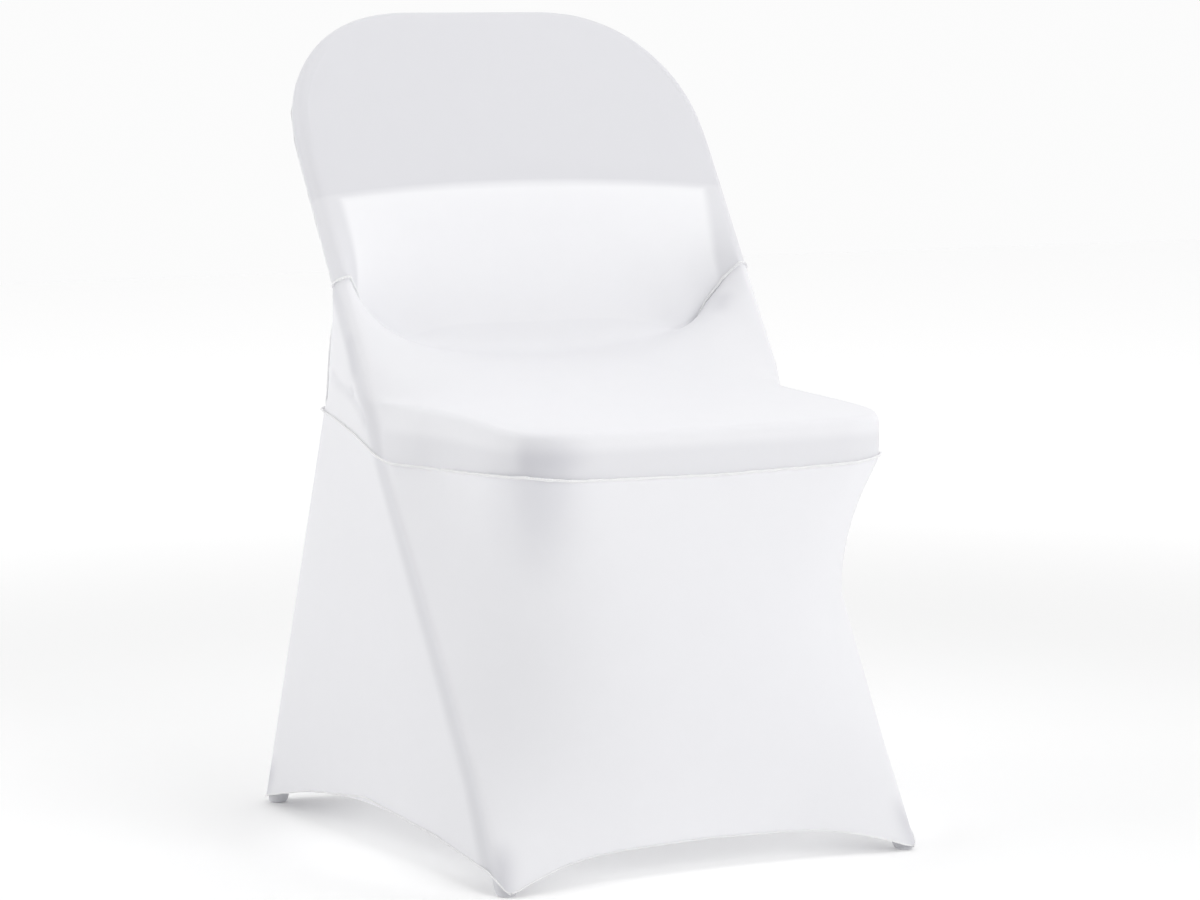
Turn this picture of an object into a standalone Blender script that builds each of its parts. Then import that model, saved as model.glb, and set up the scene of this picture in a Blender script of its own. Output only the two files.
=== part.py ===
"""A stretch cover for a folding chair, as it sits when it is pulled tight over the chair.

The cover is a hollow shell of sewn panels, open at the floor. The back sleeve slips over the
leaning back frame, the seat panel turns down over the seat's edge, the skirt runs round the
front and both sides, and the rear panel closes the back from top to hem. A small pocket at each
corner of the hem holds a foot. Every panel has its own object, with its own material.

Each panel is made as one half of an open sheet, from a few named lines: where the cloth lies on
a tube it rolls round it, and where it spans a gap it is drawn taut between the lines. A Mirror
makes the other half and a Solidify gives the cloth its thickness, inwards.
"""

import math

import bmesh
import bpy
import numpy as np

# Cloth
WALL = 0.0015
SEAM_GAP = 0.0003

# Side tubes of the chair, as dressed: one straight tube from the back's top to the front foot.
# Sizes are from the floor up, with the seat facing -Y.
RAIL_X = 0.215
RAIL_RADIUS = 0.012
RAIL_FLOOR_Y = -0.243
RAIL_RUN_PER_RISE = 0.652
RAIL_SEAM_Z = 0.530

# Back frame
BACK_TOP_Z = 0.786
BACK_CORNER_RADIUS = 0.131
PLATE_EDGE_SIDE_Z = 0.601
PLATE_EDGE_RISE = 0.014
PLATE_DISH = 0.003
BACK_WRAP_DEGREES = 140.0

# How far the cloth turns at the seams down its rear corners
BACK_SEAM_TURN = 70.0
GUSSET_SEAM_TURN = 34.0
CORNER_SEAM_TURN = 52.0

# Rear edge of the seat, behind which the rear panel hangs
SEAT_REAR_Y = 0.171
SEAT_REAR_HIGH_Z = 0.455
SEAT_REAR_LOW_Z = 0.408

# Foot pockets
FOOT_RADIUS = 0.0125
POCKET_HEIGHT = 0.016
FRONT_FOOT = (0.2115, -0.2275)
REAR_FOOT = (0.2230, 0.2555)
REAR_LEAN = (-0.057, -0.246)

# Front leg below the seat: how far the tube's middle is from the centre plane, and its run
LEG_ROWS = (
    # z,     x,      y
    (0.000, 0.2115, -0.2275),
    (0.090, 0.2065, -0.1765),
    (0.200, 0.2085, -0.1080),
    (0.370, 0.2150, -0.0018),
)
LEG_WRAP_TOP_DEGREES = 25.0
LEG_WRAP_FOOT_DEGREES = 80.0

# Half of the line where the back and the seat are sewn together, from the middle to the rail
FOLD_ROWS = (
    # x,     y,      z,     cells to the next row
    (0.0000, 0.1440, 0.4470, 3),
    (0.0800, 0.1420, 0.4490, 2),
    (0.1380, 0.1310, 0.4545, 1),
    (0.1700, 0.1155, 0.4655, 1),
    (0.1820, 0.1200, 0.4815, 1),
    (0.1905, 0.1170, 0.4975, 1),
    (0.2015, 0.1040, 0.5190, 1),
)

# Sections round half of the seat panel and the skirt, from the rail's seam to the front's middle.
# rim: middle of the roll at the panel's upper edge. roll: its radius. tilt: 1 where the cloth
# rolls over the leaning rail, 0 where it rolls over the level seat. heading: which way the panel
# faces there, 0 to the side and 90 to the front. seam: the lower or rear edge of the seat panel.
# hem: the skirt's edge below it. turn: 1 where the seat panel ends behind the rear corner.
SECTIONS = (
    # rim_x, rim_y, rim_z, roll, tilt, heading, seam_x, seam_y, seam_z, hem_x, hem_y, hem_z, turn, cells
    ("rail seam", None, None, 0.530, 0.012, 1.0, 0, 0.2227, 0.1103, 0.5250, 0, 0, 0, 1.0, 2),
    ("rail above seat", None, None, 0.508, 0.012, 1.0, 0, 0.2105, 0.1370, 0.4950, 0, 0, 0, 1.0, 2),
    ("seat rear corner", None, None, 0.486, 0.012, 1.0, 0, 0.2030, 0.1645, 0.4590, 0, 0, 0, 1.0, 1),
    ("rear seam", None, None, 0.470, 0.012, 1.0, 0, 0.2045, 0.1695, 0.4050, 0.2262, 0.2676, 0.0050, 0.45, 1),
    ("rear edge", None, None, 0.458, 0.012, 1.0, 0, 0.2125, 0.1620, 0.4035, 0.2340, 0.2614, 0.0060, 0.15, 2),
    ("side rear", None, None, 0.447, 0.012, 1.0, 0, 0.2185, 0.1180, 0.3985, 0.2350, 0.2400, 0.0110, 0.0, 2),
    ("side middle", None, None, 0.434, 0.012, 1.0, 0, 0.2235, 0.0600, 0.3880, 0.2310, 0.0300, 0.0455, 0.0, 2),
    ("leg side", 0.2110, 0.0260, 0.4190, 0.0118, 0.9, 0, 0.2270, 0.0080, 0.3745, 0.2232, -0.2135, 0.0210, 0.0, 3),
    ("leg front", 0.1965, -0.0080, 0.4150, 0.0100, 0.3, 0, 0.2225, -0.0240, 0.3695, 0.2137, -0.2405, 0.0040, 0.0, 2),
    ("seat side", 0.1895, -0.0750, 0.4145, 0.0090, 0.0, 0, 0.2000, -0.0750, 0.3690, 0.1920, -0.2365, 0.0105, 0.0, 2),
    ("seat side front", 0.1910, -0.1830, 0.4100, 0.0090, 0.0, 0, 0.2000, -0.1830, 0.3750, 0.1600, -0.2290, 0.0190, 0.0, 2),
    ("front corner", 0.1790, -0.2120, 0.4070, 0.0090, 0.0, 45, 0.1854, -0.2184, 0.3760, 0.1300, -0.2245, 0.0245, 0.0, 2),
    ("front side", 0.1500, -0.2240, 0.4065, 0.0090, 0.0, 90, 0.1500, -0.2330, 0.3725, 0.0950, -0.2215, 0.0275, 0.0, 8),
    ("front middle", 0.0000, -0.2240, 0.4055, 0.0090, 0.0, 90, 0.0000, -0.2330, 0.3695, 0.0000, -0.2195, 0.0298, 0.0, 0),
)

# Rows of cells in each direction
SKIRT_ROWS = 12
BACK_LOWER_ROWS = 4
PLATE_RAIL_ROWS = 2
PLATE_CORNER_ROWS = 3
TOP_CORNER_COLUMNS = 4
TOP_FLAT_COLUMNS = 6
ROLL_CELLS = 3
DROP_CELLS = 4
WRAP_CELLS = 5
SEAM_MARGIN = 0.004
TAUT_ROUNDS = 400
FRONT_PULL_ACROSS = 0.45
BACK_PULL_ACROSS = 0.75

# Half of the rear hem, from the foot to the middle
REAR_HEM_ROWS = (
    # x,     y,      z,     cells to the next row
    (0.2262, 0.2676, 0.0050, 2),
    (0.1850, 0.2610, 0.0180, 3),
    (0.1100, 0.2530, 0.0280, 5),
    (0.0000, 0.2490, 0.0310, 0),
)

CLOTH_COLOURS = {
    "back_front_panel": (0.86, 0.86, 0.89),
    "seat_panel": (0.88, 0.88, 0.91),
    "skirt_panel": (0.87, 0.87, 0.90),
    "rear_panel": (0.86, 0.86, 0.89),
    "foot_pocket": (0.80, 0.80, 0.83),
}
CLOTH_ROUGHNESS = 0.75

LEAN = math.atan(RAIL_RUN_PER_RISE)
ALONG_RAIL = np.array([0.0, math.sin(LEAN), math.cos(LEAN)])
RAIL_FRONT = np.array([0.0, -math.cos(LEAN), math.sin(LEAN)])
SIDEWAYS = np.array([1.0, 0.0, 0.0])
UP = np.array([0.0, 0.0, 1.0])
TOP_TUBE_Z = BACK_TOP_Z - RAIL_RADIUS
ORIGIN = (0.0, RAIL_FLOOR_Y + RAIL_RUN_PER_RISE * TOP_TUBE_Z, BACK_TOP_Z - WALL)


def rail_middle(z):
    """Middle of the side tube at a height."""
    return np.array([RAIL_X, RAIL_FLOOR_Y + RAIL_RUN_PER_RISE * z, z])


def on_back_plane(x, along):
    """Points of the leaning plane through the back frame's tube, by width and length up it."""
    x = np.asarray(x, float)
    foot = np.array([0.0, RAIL_FLOOR_Y, 0.0])
    return foot + x[..., None] * SIDEWAYS + np.asarray(along, float)[..., None] * ALONG_RAIL


def through(rows, cells):
    """Values on a smooth line through the rows that never overshoots them.

    The slope at a row is the harmonic mean of the slopes on its two sides, and zero where they
    have opposite signs.
    """
    rows = np.asarray(rows, float)
    rise = np.diff(rows, axis=0)
    before, after = rise[:-1], rise[1:]
    both = before * after
    inner = np.where(both > 0, 2 * both / np.where(both > 0, before + after, 1.0), 0.0)
    slope = np.concatenate([rise[:1], inner, rise[-1:]])
    first = np.repeat(np.arange(len(cells)), cells)
    share = np.concatenate([np.arange(count) / count for count in cells])[:, None]
    start = (1 + 2 * share) * (1 - share) ** 2 * rows[first]
    end = share**2 * (3 - 2 * share) * rows[first + 1]
    leave = share * (1 - share) ** 2 * slope[first]
    arrive = share**2 * (share - 1) * slope[first + 1]
    return np.concatenate([start + end + leave + arrive, rows[-1:]])


def between(first, last, cells):
    """A sheet of straight lines from one edge line to another, cells apart."""
    share = np.linspace(0.0, 1.0, cells + 1)[:, None, None]
    return (1 - share) * first + share * last


def span(bottom, top, middle, side):
    """Sheet between four edge lines: its two ruled sheets, less the sheet of its corners."""
    down = np.linspace(0.0, 1.0, len(middle))[:, None, None]
    across = np.linspace(0.0, 1.0, len(bottom))[None, :, None]
    rows = (1 - down) * bottom[None] + down * top[None]
    columns = (1 - across) * middle[:, None] + across * side[:, None]
    low = (1 - across) * bottom[0] + across * bottom[-1]
    high = (1 - across) * top[0] + across * top[-1]
    return rows + columns - ((1 - down) * low + down * high)


def taut(sheet, held, across=0.5):
    """The sheet drawn taut between its held points.

    Each free point goes to the middle of its four neighbours, again and again, as cloth pulled
    evenly both ways does. A larger share across gives cloth that is pulled harder from side to
    side. The first column lies on the plane that the cover is mirrored in.
    """
    sheet = sheet.copy()
    mirror = np.array([-1.0, 1.0, 1.0])
    for _ in range(TAUT_ROUNDS):
        left = np.concatenate([sheet[:, 1:2] * mirror, sheet[:, :-1]], axis=1)
        right = np.concatenate([sheet[:, 1:], sheet[:, -1:]], axis=1)
        below = np.concatenate([sheet[:1], sheet[:-1]])
        above = np.concatenate([sheet[1:], sheet[-1:]])
        pulled = (across * (left + right) + (1 - across) * (below + above)) / 2
        sheet = np.where(held[..., None], sheet, pulled)
    return sheet


def held_edges(sheet):
    """Which points of a sheet lie on its lower, upper and side edges."""
    held = np.zeros(sheet.shape[:2], bool)
    held[0] = True
    held[-1] = True
    held[:, -1] = True
    return held


def drawn_back(sheet, rows=(), columns=(), turn=0.0):
    """The sheet with the named edge rows and columns drawn back from a seam.

    Each is half of the gap back, and further where the two panels meet at a corner: a turn, in
    degrees, from one panel to the other would bring the inner faces of their walls together.
    """
    sheet = sheet.copy()
    back = SEAM_GAP / 2 + WALL * math.tan(math.radians(turn) / 2)
    for row in rows:
        inner = 1 if row == 0 else -2
        way = sheet[inner] - sheet[row]
        sheet[row] += back * way / np.linalg.norm(way, axis=1)[:, None]
    for column in columns:
        inner = 1 if column == 0 else -2
        way = sheet[:, inner] - sheet[:, column]
        sheet[:, column] += back * way / np.linalg.norm(way, axis=1)[:, None]
    return sheet


def with_seam_row(sheet):
    """The sheet with a row added just below its first one, where the seam's stiff edge ends."""
    step = sheet[1] - sheet[0]
    added = sheet[0] + SEAM_MARGIN * step / np.linalg.norm(step, axis=1)[:, None]
    return np.concatenate([sheet[:1], added[None], sheet[1:]])


def section_lines():
    """The rim, seam and hem lines of half of the cover, with the rolls' radii and directions."""
    table = []
    for _name, rim_x, rim_y, rim_z, *others in SECTIONS:
        middle = rail_middle(rim_z)
        table.append([middle[0] if rim_x is None else rim_x, middle[1] if rim_y is None else rim_y, rim_z, *others])
    table = np.array(table, float)
    cells = table[:-1, -1].astype(int)
    points = through(table[:, :-1], cells)
    firsts = np.concatenate([[0], np.cumsum(cells)])
    starts = {row[0]: int(first) for row, first in zip(SECTIONS, firsts)}
    tilt = points[:, 4:5]
    heading = np.radians(points[:, 5])
    lifted = tilt * RAIL_FRONT + (1 - tilt) * UP
    return {
        "rim": points[:, 0:3],
        "roll": points[:, 3:4],
        "over": lifted / np.linalg.norm(lifted, axis=1)[:, None],
        "out": np.stack([np.cos(heading), -np.sin(heading), 0 * heading], axis=1),
        "seam": points[:, 6:9],
        "hem": points[:, 9:12],
        "turn": points[:, 12:13],
        "starts": starts,
    }


def seat_edge_strip(lines):
    """The seat panel's edge, rolled over the rim and dropped to the seam, from rim to seam.

    The drop is a curve with four handles: it leaves the roll straight and meets the seam either
    going down, or going inwards where the panel turns round the rear corner.
    """
    turned = []
    for angle in np.radians(np.linspace(0.0, 90.0, ROLL_CELLS + 1)):
        turned.append(lines["rim"] + lines["roll"] * (math.cos(angle) * lines["over"] + math.sin(angle) * lines["out"]))
    start = turned[-1]
    seam = lines["seam"]
    handle = np.linalg.norm(seam - start, axis=1)[:, None] / 3
    leave = start - handle * lines["over"]
    from_side = np.minimum(handle, RAIL_RADIUS) * SIDEWAYS
    from_above = handle * UP
    arrive = seam + lines["turn"] * from_side + (1 - lines["turn"]) * from_above
    for share in np.linspace(0.0, 1.0, DROP_CELLS + 1)[1:]:
        rest = 1 - share
        turned.append(
            rest**3 * start + 3 * rest**2 * share * leave + 3 * rest * share**2 * arrive + share**3 * seam
        )
    return np.stack(turned)


def fold_line():
    """The seam of back and seat, from the middle to the front of the rail."""
    rows = [row[:3] for row in FOLD_ROWS]
    rows.append(rail_middle(RAIL_SEAM_Z) + RAIL_RADIUS * RAIL_FRONT)
    return through(rows, [row[3] for row in FOLD_ROWS])


def seat_sheets(lines):
    """The seat panel's top and its edge strip."""
    strip = seat_edge_strip(lines)
    corner = lines["starts"]["front corner"]
    side = strip[0, : corner + 1][::-1]
    front = strip[0, corner:][::-1]
    fold = fold_line()
    middle = between(front[:1], fold[:1], len(side) - 1)[:, 0]
    top = span(front, fold, middle, side)
    top = taut(top, held_edges(top))
    strip = drawn_back(strip, rows=(-1,), columns=(0,))
    behind = lines["starts"]["rear seam"]
    rear_edge = drawn_back(strip, rows=(-1,), turn=GUSSET_SEAM_TURN)[-1, : behind + 1]
    strip[-1, : behind + 1] = rear_edge
    top = drawn_back(top, rows=(-1,))
    top[-1, -1] = strip[0, 0]
    return top, strip


def back_frame_line():
    """The back frame's tube from the rail's seam to the middle of the top, width and length."""
    seam = RAIL_SEAM_Z / math.cos(LEAN)
    plate = PLATE_EDGE_SIDE_Z / math.cos(LEAN)
    centre_x = RAIL_X - BACK_CORNER_RADIUS
    centre = TOP_TUBE_Z / math.cos(LEAN) - BACK_CORNER_RADIUS
    lower = np.linspace(seam, plate, BACK_LOWER_ROWS + 1)
    upper = np.linspace(plate, centre, PLATE_RAIL_ROWS + 1)[1:]
    rail = np.concatenate([lower, upper])
    angles = np.concatenate(
        [np.linspace(0, 45, PLATE_CORNER_ROWS + 1)[1:], np.linspace(45, 90, TOP_CORNER_COLUMNS + 1)[1:]]
    )
    arc_x = centre_x + BACK_CORNER_RADIUS * np.cos(np.radians(angles))
    arc = centre + BACK_CORNER_RADIUS * np.sin(np.radians(angles))
    flat_x = np.linspace(centre_x, 0.0, TOP_FLAT_COLUMNS + 1)[1:]
    flat = np.full(TOP_FLAT_COLUMNS, centre + BACK_CORNER_RADIUS)
    width = np.concatenate([np.full(len(rail), RAIL_X), arc_x, flat_x])
    length = np.concatenate([rail, arc, flat])
    outward = np.concatenate([np.zeros(len(rail)), np.radians(angles), np.full(TOP_FLAT_COLUMNS, math.pi / 2)])
    return width, length, outward


def back_edge_strip():
    """The cloth rolled round the back frame's tube, from its front to the seam at its rear."""
    width, length, outward = back_frame_line()
    middle = on_back_plane(width, length)
    out = np.cos(outward)[:, None] * SIDEWAYS + np.sin(outward)[:, None] * ALONG_RAIL
    turned = []
    for angle in np.radians(np.linspace(0.0, BACK_WRAP_DEGREES, WRAP_CELLS + 1)):
        turned.append(middle + RAIL_RADIUS * (math.cos(angle) * RAIL_FRONT + math.sin(angle) * out))
    return np.stack(turned)


def plate_edge(depth):
    """The arched lower edge of the back plate, from the middle to the rail, a depth off the frame."""
    columns = TOP_CORNER_COLUMNS + TOP_FLAT_COLUMNS
    x = np.linspace(0.0, RAIL_X, columns + 1)
    length = (PLATE_EDGE_SIDE_Z + PLATE_EDGE_RISE * (1 - (x / RAIL_X) ** 2)) / math.cos(LEAN)
    return on_back_plane(x, length) + depth * RAIL_FRONT


def dished(sheet, depth):
    """The plate's part of a sheet pressed in towards the other side, most in the middle."""
    across = 1 - (sheet[..., 0] / RAIL_X) ** 2
    up = np.linspace(0.0, 1.0, len(sheet))[:, None]
    return sheet - (depth * np.clip(across, 0, 1) * (1 - up**2))[..., None] * RAIL_FRONT


def back_sheets():
    """The back's front panel: taut under the plate, flat over it, and its edge strip."""
    strip = back_edge_strip()
    corner = BACK_LOWER_ROWS + PLATE_RAIL_ROWS + PLATE_CORNER_ROWS
    side = strip[0, : corner + 1]
    top_line = strip[0, corner:][::-1]
    edge = plate_edge(RAIL_RADIUS)
    edge[-1] = side[BACK_LOWER_ROWS]
    upper_side = side[BACK_LOWER_ROWS:]
    upper_middle = between(edge[:1], top_line[:1], len(upper_side) - 1)[:, 0]
    upper = dished(span(edge, top_line, upper_middle, upper_side), PLATE_DISH)

    fold = fold_line()
    lower_side = side[: BACK_LOWER_ROWS + 1]
    lower_middle = between(fold[:1], upper[0, :1], BACK_LOWER_ROWS)[:, 0]
    lower = span(fold, upper[0], lower_middle, lower_side)
    lower = taut(lower, held_edges(lower), BACK_PULL_ACROSS)

    strip = drawn_back(drawn_back(strip, rows=(-1,), turn=BACK_SEAM_TURN), columns=(0,))
    lower = drawn_back(lower, rows=(0,))
    lower[0, -1] = strip[0, 0]
    return lower, upper, strip


def leg_line(z, degrees):
    """Where the cloth lies on the front leg at some heights, turned forward from its outer side."""
    rows = np.array(LEG_ROWS)
    x = np.interp(z, rows[:, 0], rows[:, 1])
    y = np.interp(z, rows[:, 0], rows[:, 2])
    angle = np.radians(degrees)
    return np.stack(
        [x + FOOT_RADIUS * np.cos(angle), y - FOOT_RADIUS / math.cos(LEAN) * np.sin(angle), z], axis=-1
    )


def skirt_sheets(lines):
    """The skirt: straight over the side and the leg, taut between the legs, seat edge and hem."""
    starts = lines["starts"]
    rear, leg_side, leg_front = (starts[name] for name in ("rear seam", "leg side", "leg front"))
    seam, hem = lines["seam"], lines["hem"]
    side = between(seam[rear : leg_side + 1], hem[rear : leg_side + 1], SKIRT_ROWS)

    wraps = []
    for index in range(leg_side, leg_front + 1):
        share = (index - leg_side) / (leg_front - leg_side)
        z = np.linspace(seam[index, 2], hem[index, 2], SKIRT_ROWS + 1)
        fall = np.linspace(0.0, 1.0, SKIRT_ROWS + 1)
        degrees = share * ((1 - fall) * LEG_WRAP_TOP_DEGREES + fall * LEG_WRAP_FOOT_DEGREES)
        line = leg_line(z, degrees)
        line[0] = seam[index]
        line[-1] = hem[index]
        wraps.append(line)
    leg = np.stack(wraps, axis=1)
    side[:, -1] = leg[:, 0]
    side, leg = with_seam_row(side), with_seam_row(leg)

    top = seam[leg_front:][::-1]
    bottom = hem[leg_front:][::-1]
    leg_edge = leg[:, -1]
    middle = between(top[:1], bottom[:1], SKIRT_ROWS)[:, 0]
    front = with_seam_row(span(top, bottom, middle, np.delete(leg_edge, 1, axis=0)))
    held = held_edges(front)
    share = np.linspace(1.0, 0.0, front.shape[1])[:, None]
    front[1] = top - share * SEAM_MARGIN * UP + (1 - share) * (leg_edge[1] - leg_edge[0])
    held[1] = True
    front = taut(front, held, FRONT_PULL_ACROSS)

    side = drawn_back(drawn_back(side, rows=(0,)), columns=(0,), turn=CORNER_SEAM_TURN)
    leg = drawn_back(leg, rows=(0,))
    front = drawn_back(front, rows=(0,))
    leg[0, 0] = side[0, -1]
    front[0, -1] = leg[0, -1]
    return side, leg, front


def rear_sheets(lines):
    """The rear panel, from the hem up over the seat's rear edge to the top of the back."""
    starts = lines["starts"]
    seam, hem = lines["seam"], lines["hem"]
    corner, low = starts["seat rear corner"], starts["rear seam"]
    columns = sum(row[3] for row in REAR_HEM_ROWS)
    across = np.linspace(0.0, 1.0, columns + 1)[:, None]

    def crossing(side_point, middle_point):
        """A line bowed back from a side point to the middle, from the middle out."""
        bow = 1 - across**2
        line = bow * middle_point + (1 - bow) * side_point
        line[:, 0] = across[:, 0] * side_point[0]
        return line

    bottom = through([row[:3] for row in REAR_HEM_ROWS], [row[3] for row in REAR_HEM_ROWS[:-1]])[::-1]
    seat_low = crossing(seam[low], np.array([0.0, SEAT_REAR_Y + 0.002, SEAT_REAR_LOW_Z]))
    seat_high = crossing(seam[corner], np.array([0.0, SEAT_REAR_Y, SEAT_REAR_HIGH_Z]))

    lower_side = between(hem[low : low + 1], seam[low : low + 1], SKIRT_ROWS)[:, 0]
    lower = span(bottom, seat_low, between(bottom[:1], seat_low[:1], SKIRT_ROWS)[:, 0], lower_side)
    lower = taut(lower, held_edges(lower))

    seat_side = seam[corner : low + 1][::-1]
    cells = len(seat_side) - 1
    seat_edge = span(seat_low, seat_high, between(seat_low[:1], seat_high[:1], cells)[:, 0], seat_side)

    strip = back_edge_strip()[-1]
    plate = BACK_LOWER_ROWS
    top_corner = BACK_LOWER_ROWS + PLATE_RAIL_ROWS + PLATE_CORNER_ROWS
    edge = plate_edge(-RAIL_RADIUS)
    edge[-1] = strip[plate]
    upper_side = strip[plate : top_corner + 1]
    top_line = strip[top_corner:][::-1]
    upper = span(edge, top_line, between(edge[:1], top_line[:1], len(upper_side) - 1)[:, 0], upper_side)
    upper = dished(upper, -PLATE_DISH)

    side = np.concatenate([seam[: corner + 1][::-1], strip[1 : plate + 1]])
    middle = between(seat_high[:1], upper[0, :1], len(side) - 1)[:, 0]
    hanging = span(seat_high, upper[0], middle, side)
    hanging = taut(hanging, held_edges(hanging))

    lower = drawn_back(lower, columns=(-1,), turn=CORNER_SEAM_TURN)
    seat_edge = drawn_back(seat_edge, columns=(-1,), turn=GUSSET_SEAM_TURN)
    hanging = drawn_back(hanging, columns=(-1,), turn=BACK_SEAM_TURN)
    upper = drawn_back(upper, rows=(-1,), columns=(-1,), turn=BACK_SEAM_TURN)
    seat_edge[0, -1], seat_edge[-1, -1] = lower[-1, -1], hanging[0, -1]
    upper[0, -1] = hanging[-1, -1]
    return lower, seat_edge, hanging, upper


def pocket_sheet(foot, lean):
    """A foot pocket: rings up the leg from a flat sole, whose middle closes it."""
    outer = FOOT_RADIUS - WALL - 2 * SEAM_GAP - 0.0004
    rings = ((POCKET_HEIGHT, 1.0), (0.009, 1.0), (0.004, 0.98), (0.0012, 0.90), (0.0, 0.78))
    angles = np.linspace(0.0, 2 * math.pi, 17)
    rows = []
    for z, size in rings:
        x = foot[0] + lean[0] * z + outer * size * np.cos(angles)
        y = foot[1] + lean[1] * z + outer * size * np.sin(angles)
        rows.append(np.stack([x, y, np.full_like(x, z)], axis=1))
    middle = np.tile([foot[0], foot[1], 0.0], (len(angles), 1))
    rows.append((rows[-1] + middle) / 2)
    rows.append(middle)
    return np.stack(rows)


def cloth_material(name, colour):
    """A plain white stretch knit."""
    material = bpy.data.materials.new(name)
    material.use_nodes = True
    shader = material.node_tree.nodes["Principled BSDF"]
    shader.inputs["Base Color"].default_value = (*colour, 1.0)
    shader.inputs["Roughness"].default_value = CLOTH_ROUGHNESS
    shader.inputs["Metallic"].default_value = 0.0
    return material


def sheet_object(name, sheets, outward, colour, mirrored):
    """One panel from its sheets, joined along their shared lines and turned to face outward."""
    mesh_faces = bmesh.new()
    for sheet, facing in zip(sheets, outward):
        along = np.diff(sheet, axis=0)[:, :-1]
        across = np.diff(sheet, axis=1)[:-1]
        faces_out = np.cross(across, along).reshape(-1, 3).sum(axis=0) @ np.array(facing) > 0
        points = [[mesh_faces.verts.new(point) for point in row] for row in sheet]
        for low, high in zip(points, points[1:]):
            for left in range(len(low) - 1):
                corners = [low[left], low[left + 1], high[left + 1], high[left]]
                mesh_faces.faces.new(corners if faces_out else corners[::-1])
    bmesh.ops.remove_doubles(mesh_faces, verts=mesh_faces.verts, dist=0.00002)
    bmesh.ops.dissolve_degenerate(mesh_faces, edges=mesh_faces.edges, dist=0.00001)
    mesh = bpy.data.meshes.new(name)
    mesh_faces.to_mesh(mesh)
    mesh_faces.free()
    mesh.shade_smooth()
    mesh.materials.append(cloth_material(name + "_cloth", colour))
    obj = bpy.data.objects.new(name, mesh)
    if mirrored:
        mirror = obj.modifiers.new("other half", "MIRROR")
        mirror.use_axis = (True, False, False)
        mirror.use_clip = True
        mirror.merge_threshold = 0.0001
    wall = obj.modifiers.new("cloth", "SOLIDIFY")
    wall.thickness = WALL
    wall.offset = -1.0
    wall.use_even_offset = True
    wall.use_quality_normals = True
    return obj


def build_cover():
    """All the panels, in one collection, with the origin under the top of the back sleeve."""
    for obj in list(bpy.data.objects):
        bpy.data.objects.remove(obj)
    collection = bpy.data.collections.new("chair_cover")
    bpy.context.scene.collection.children.link(collection)
    frame = bpy.data.objects.new("chair_cover_frame", None)
    frame.location = [-value for value in ORIGIN]
    collection.objects.link(frame)

    lines = section_lines()
    panels = {
        "back_front_panel": (back_sheets(), [(0, -1, 0), (0, -1, 0), (1, 0, 1)]),
        "seat_panel": (seat_sheets(lines), [(0, 0, 1), (1, -1, 0)]),
        "skirt_panel": (skirt_sheets(lines), [(1, 0, 0), (1, -1, 0), (0, -1, 0)]),
        "rear_panel": (rear_sheets(lines), [(0, 1, 0)] * 4),
    }
    for name, (sheets, outward) in panels.items():
        obj = sheet_object(name, sheets, outward, CLOTH_COLOURS[name], mirrored=True)
        collection.objects.link(obj)
        obj.parent = frame

    leg = np.array(LEG_ROWS)
    front_lean = (leg[1, 1:] - leg[0, 1:]) / leg[1, 0]
    feet = {"front": (FRONT_FOOT, front_lean), "rear": (REAR_FOOT, REAR_LEAN)}
    for end, (foot, lean) in feet.items():
        for side, sign in (("left", -1), ("right", 1)):
            sheet = pocket_sheet((sign * foot[0], foot[1]), (sign * lean[0], lean[1]))
            name = f"foot_pocket_{end}_{side}"
            obj = sheet_object(name, [sheet], [(0, 0, -1)], CLOTH_COLOURS["foot_pocket"], mirrored=False)
            collection.objects.link(obj)
            obj.parent = frame


build_cover()
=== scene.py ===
"""A white stretch cover for a folding chair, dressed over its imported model.

Every cut panel is one sheet of knit. It is worked out as half of a coarse grid: rolled round the
tubes, dropped from the seat's edge, and drawn taut where it spans a gap. The grid is mirrored,
subdivided, given its creases and puckers, and then its thickness. Overlock threads lie along the
seams. Sizes are in metres from the floor up, with the seat facing -Y, and move into the model's
frame, whose origin is under the top of the back sleeve, when a mesh is made.
"""

import logging
import math
from dataclasses import dataclass, field
from enum import Enum
from typing import Optional

import bpy
import numpy as np
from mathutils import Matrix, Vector


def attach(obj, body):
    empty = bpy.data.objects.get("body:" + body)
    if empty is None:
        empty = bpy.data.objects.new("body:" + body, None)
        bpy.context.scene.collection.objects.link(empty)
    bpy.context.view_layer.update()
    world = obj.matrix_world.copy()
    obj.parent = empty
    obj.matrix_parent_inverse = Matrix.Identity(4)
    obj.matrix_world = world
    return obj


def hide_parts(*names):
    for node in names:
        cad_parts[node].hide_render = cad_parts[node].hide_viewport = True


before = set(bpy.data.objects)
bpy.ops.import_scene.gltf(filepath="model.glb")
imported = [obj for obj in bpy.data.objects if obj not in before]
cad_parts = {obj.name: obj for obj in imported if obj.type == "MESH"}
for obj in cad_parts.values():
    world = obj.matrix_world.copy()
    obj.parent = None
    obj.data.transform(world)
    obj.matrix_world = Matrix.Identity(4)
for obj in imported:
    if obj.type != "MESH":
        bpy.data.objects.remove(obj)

log = logging.getLogger("chair_cover")
Array = np.ndarray
Point = tuple[float, float, float]
Colour = tuple[float, float, float]

FRAME_ORIGIN = np.array([0.0, 0.261648, 0.7845])
SIDEWAYS = np.array([1.0, 0.0, 0.0])
UP = np.array([0.0, 0.0, 1.0])
MIRROR = np.array([-1.0, 1.0, 1.0])


class Facing(Enum):
    """The way that a patch of cloth faces, to tell its outer side."""

    FRONT = (0.0, -1.0, 0.0)
    REAR = (0.0, 1.0, 0.0)
    SIDE = (1.0, 0.0, 0.0)
    CORNER = (1.0, -1.0, 0.0)
    OVER = (1.0, 0.0, 1.0)
    TOP = (0.0, 0.0, 1.0)
    UNDER = (0.0, 0.0, -1.0)


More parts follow.
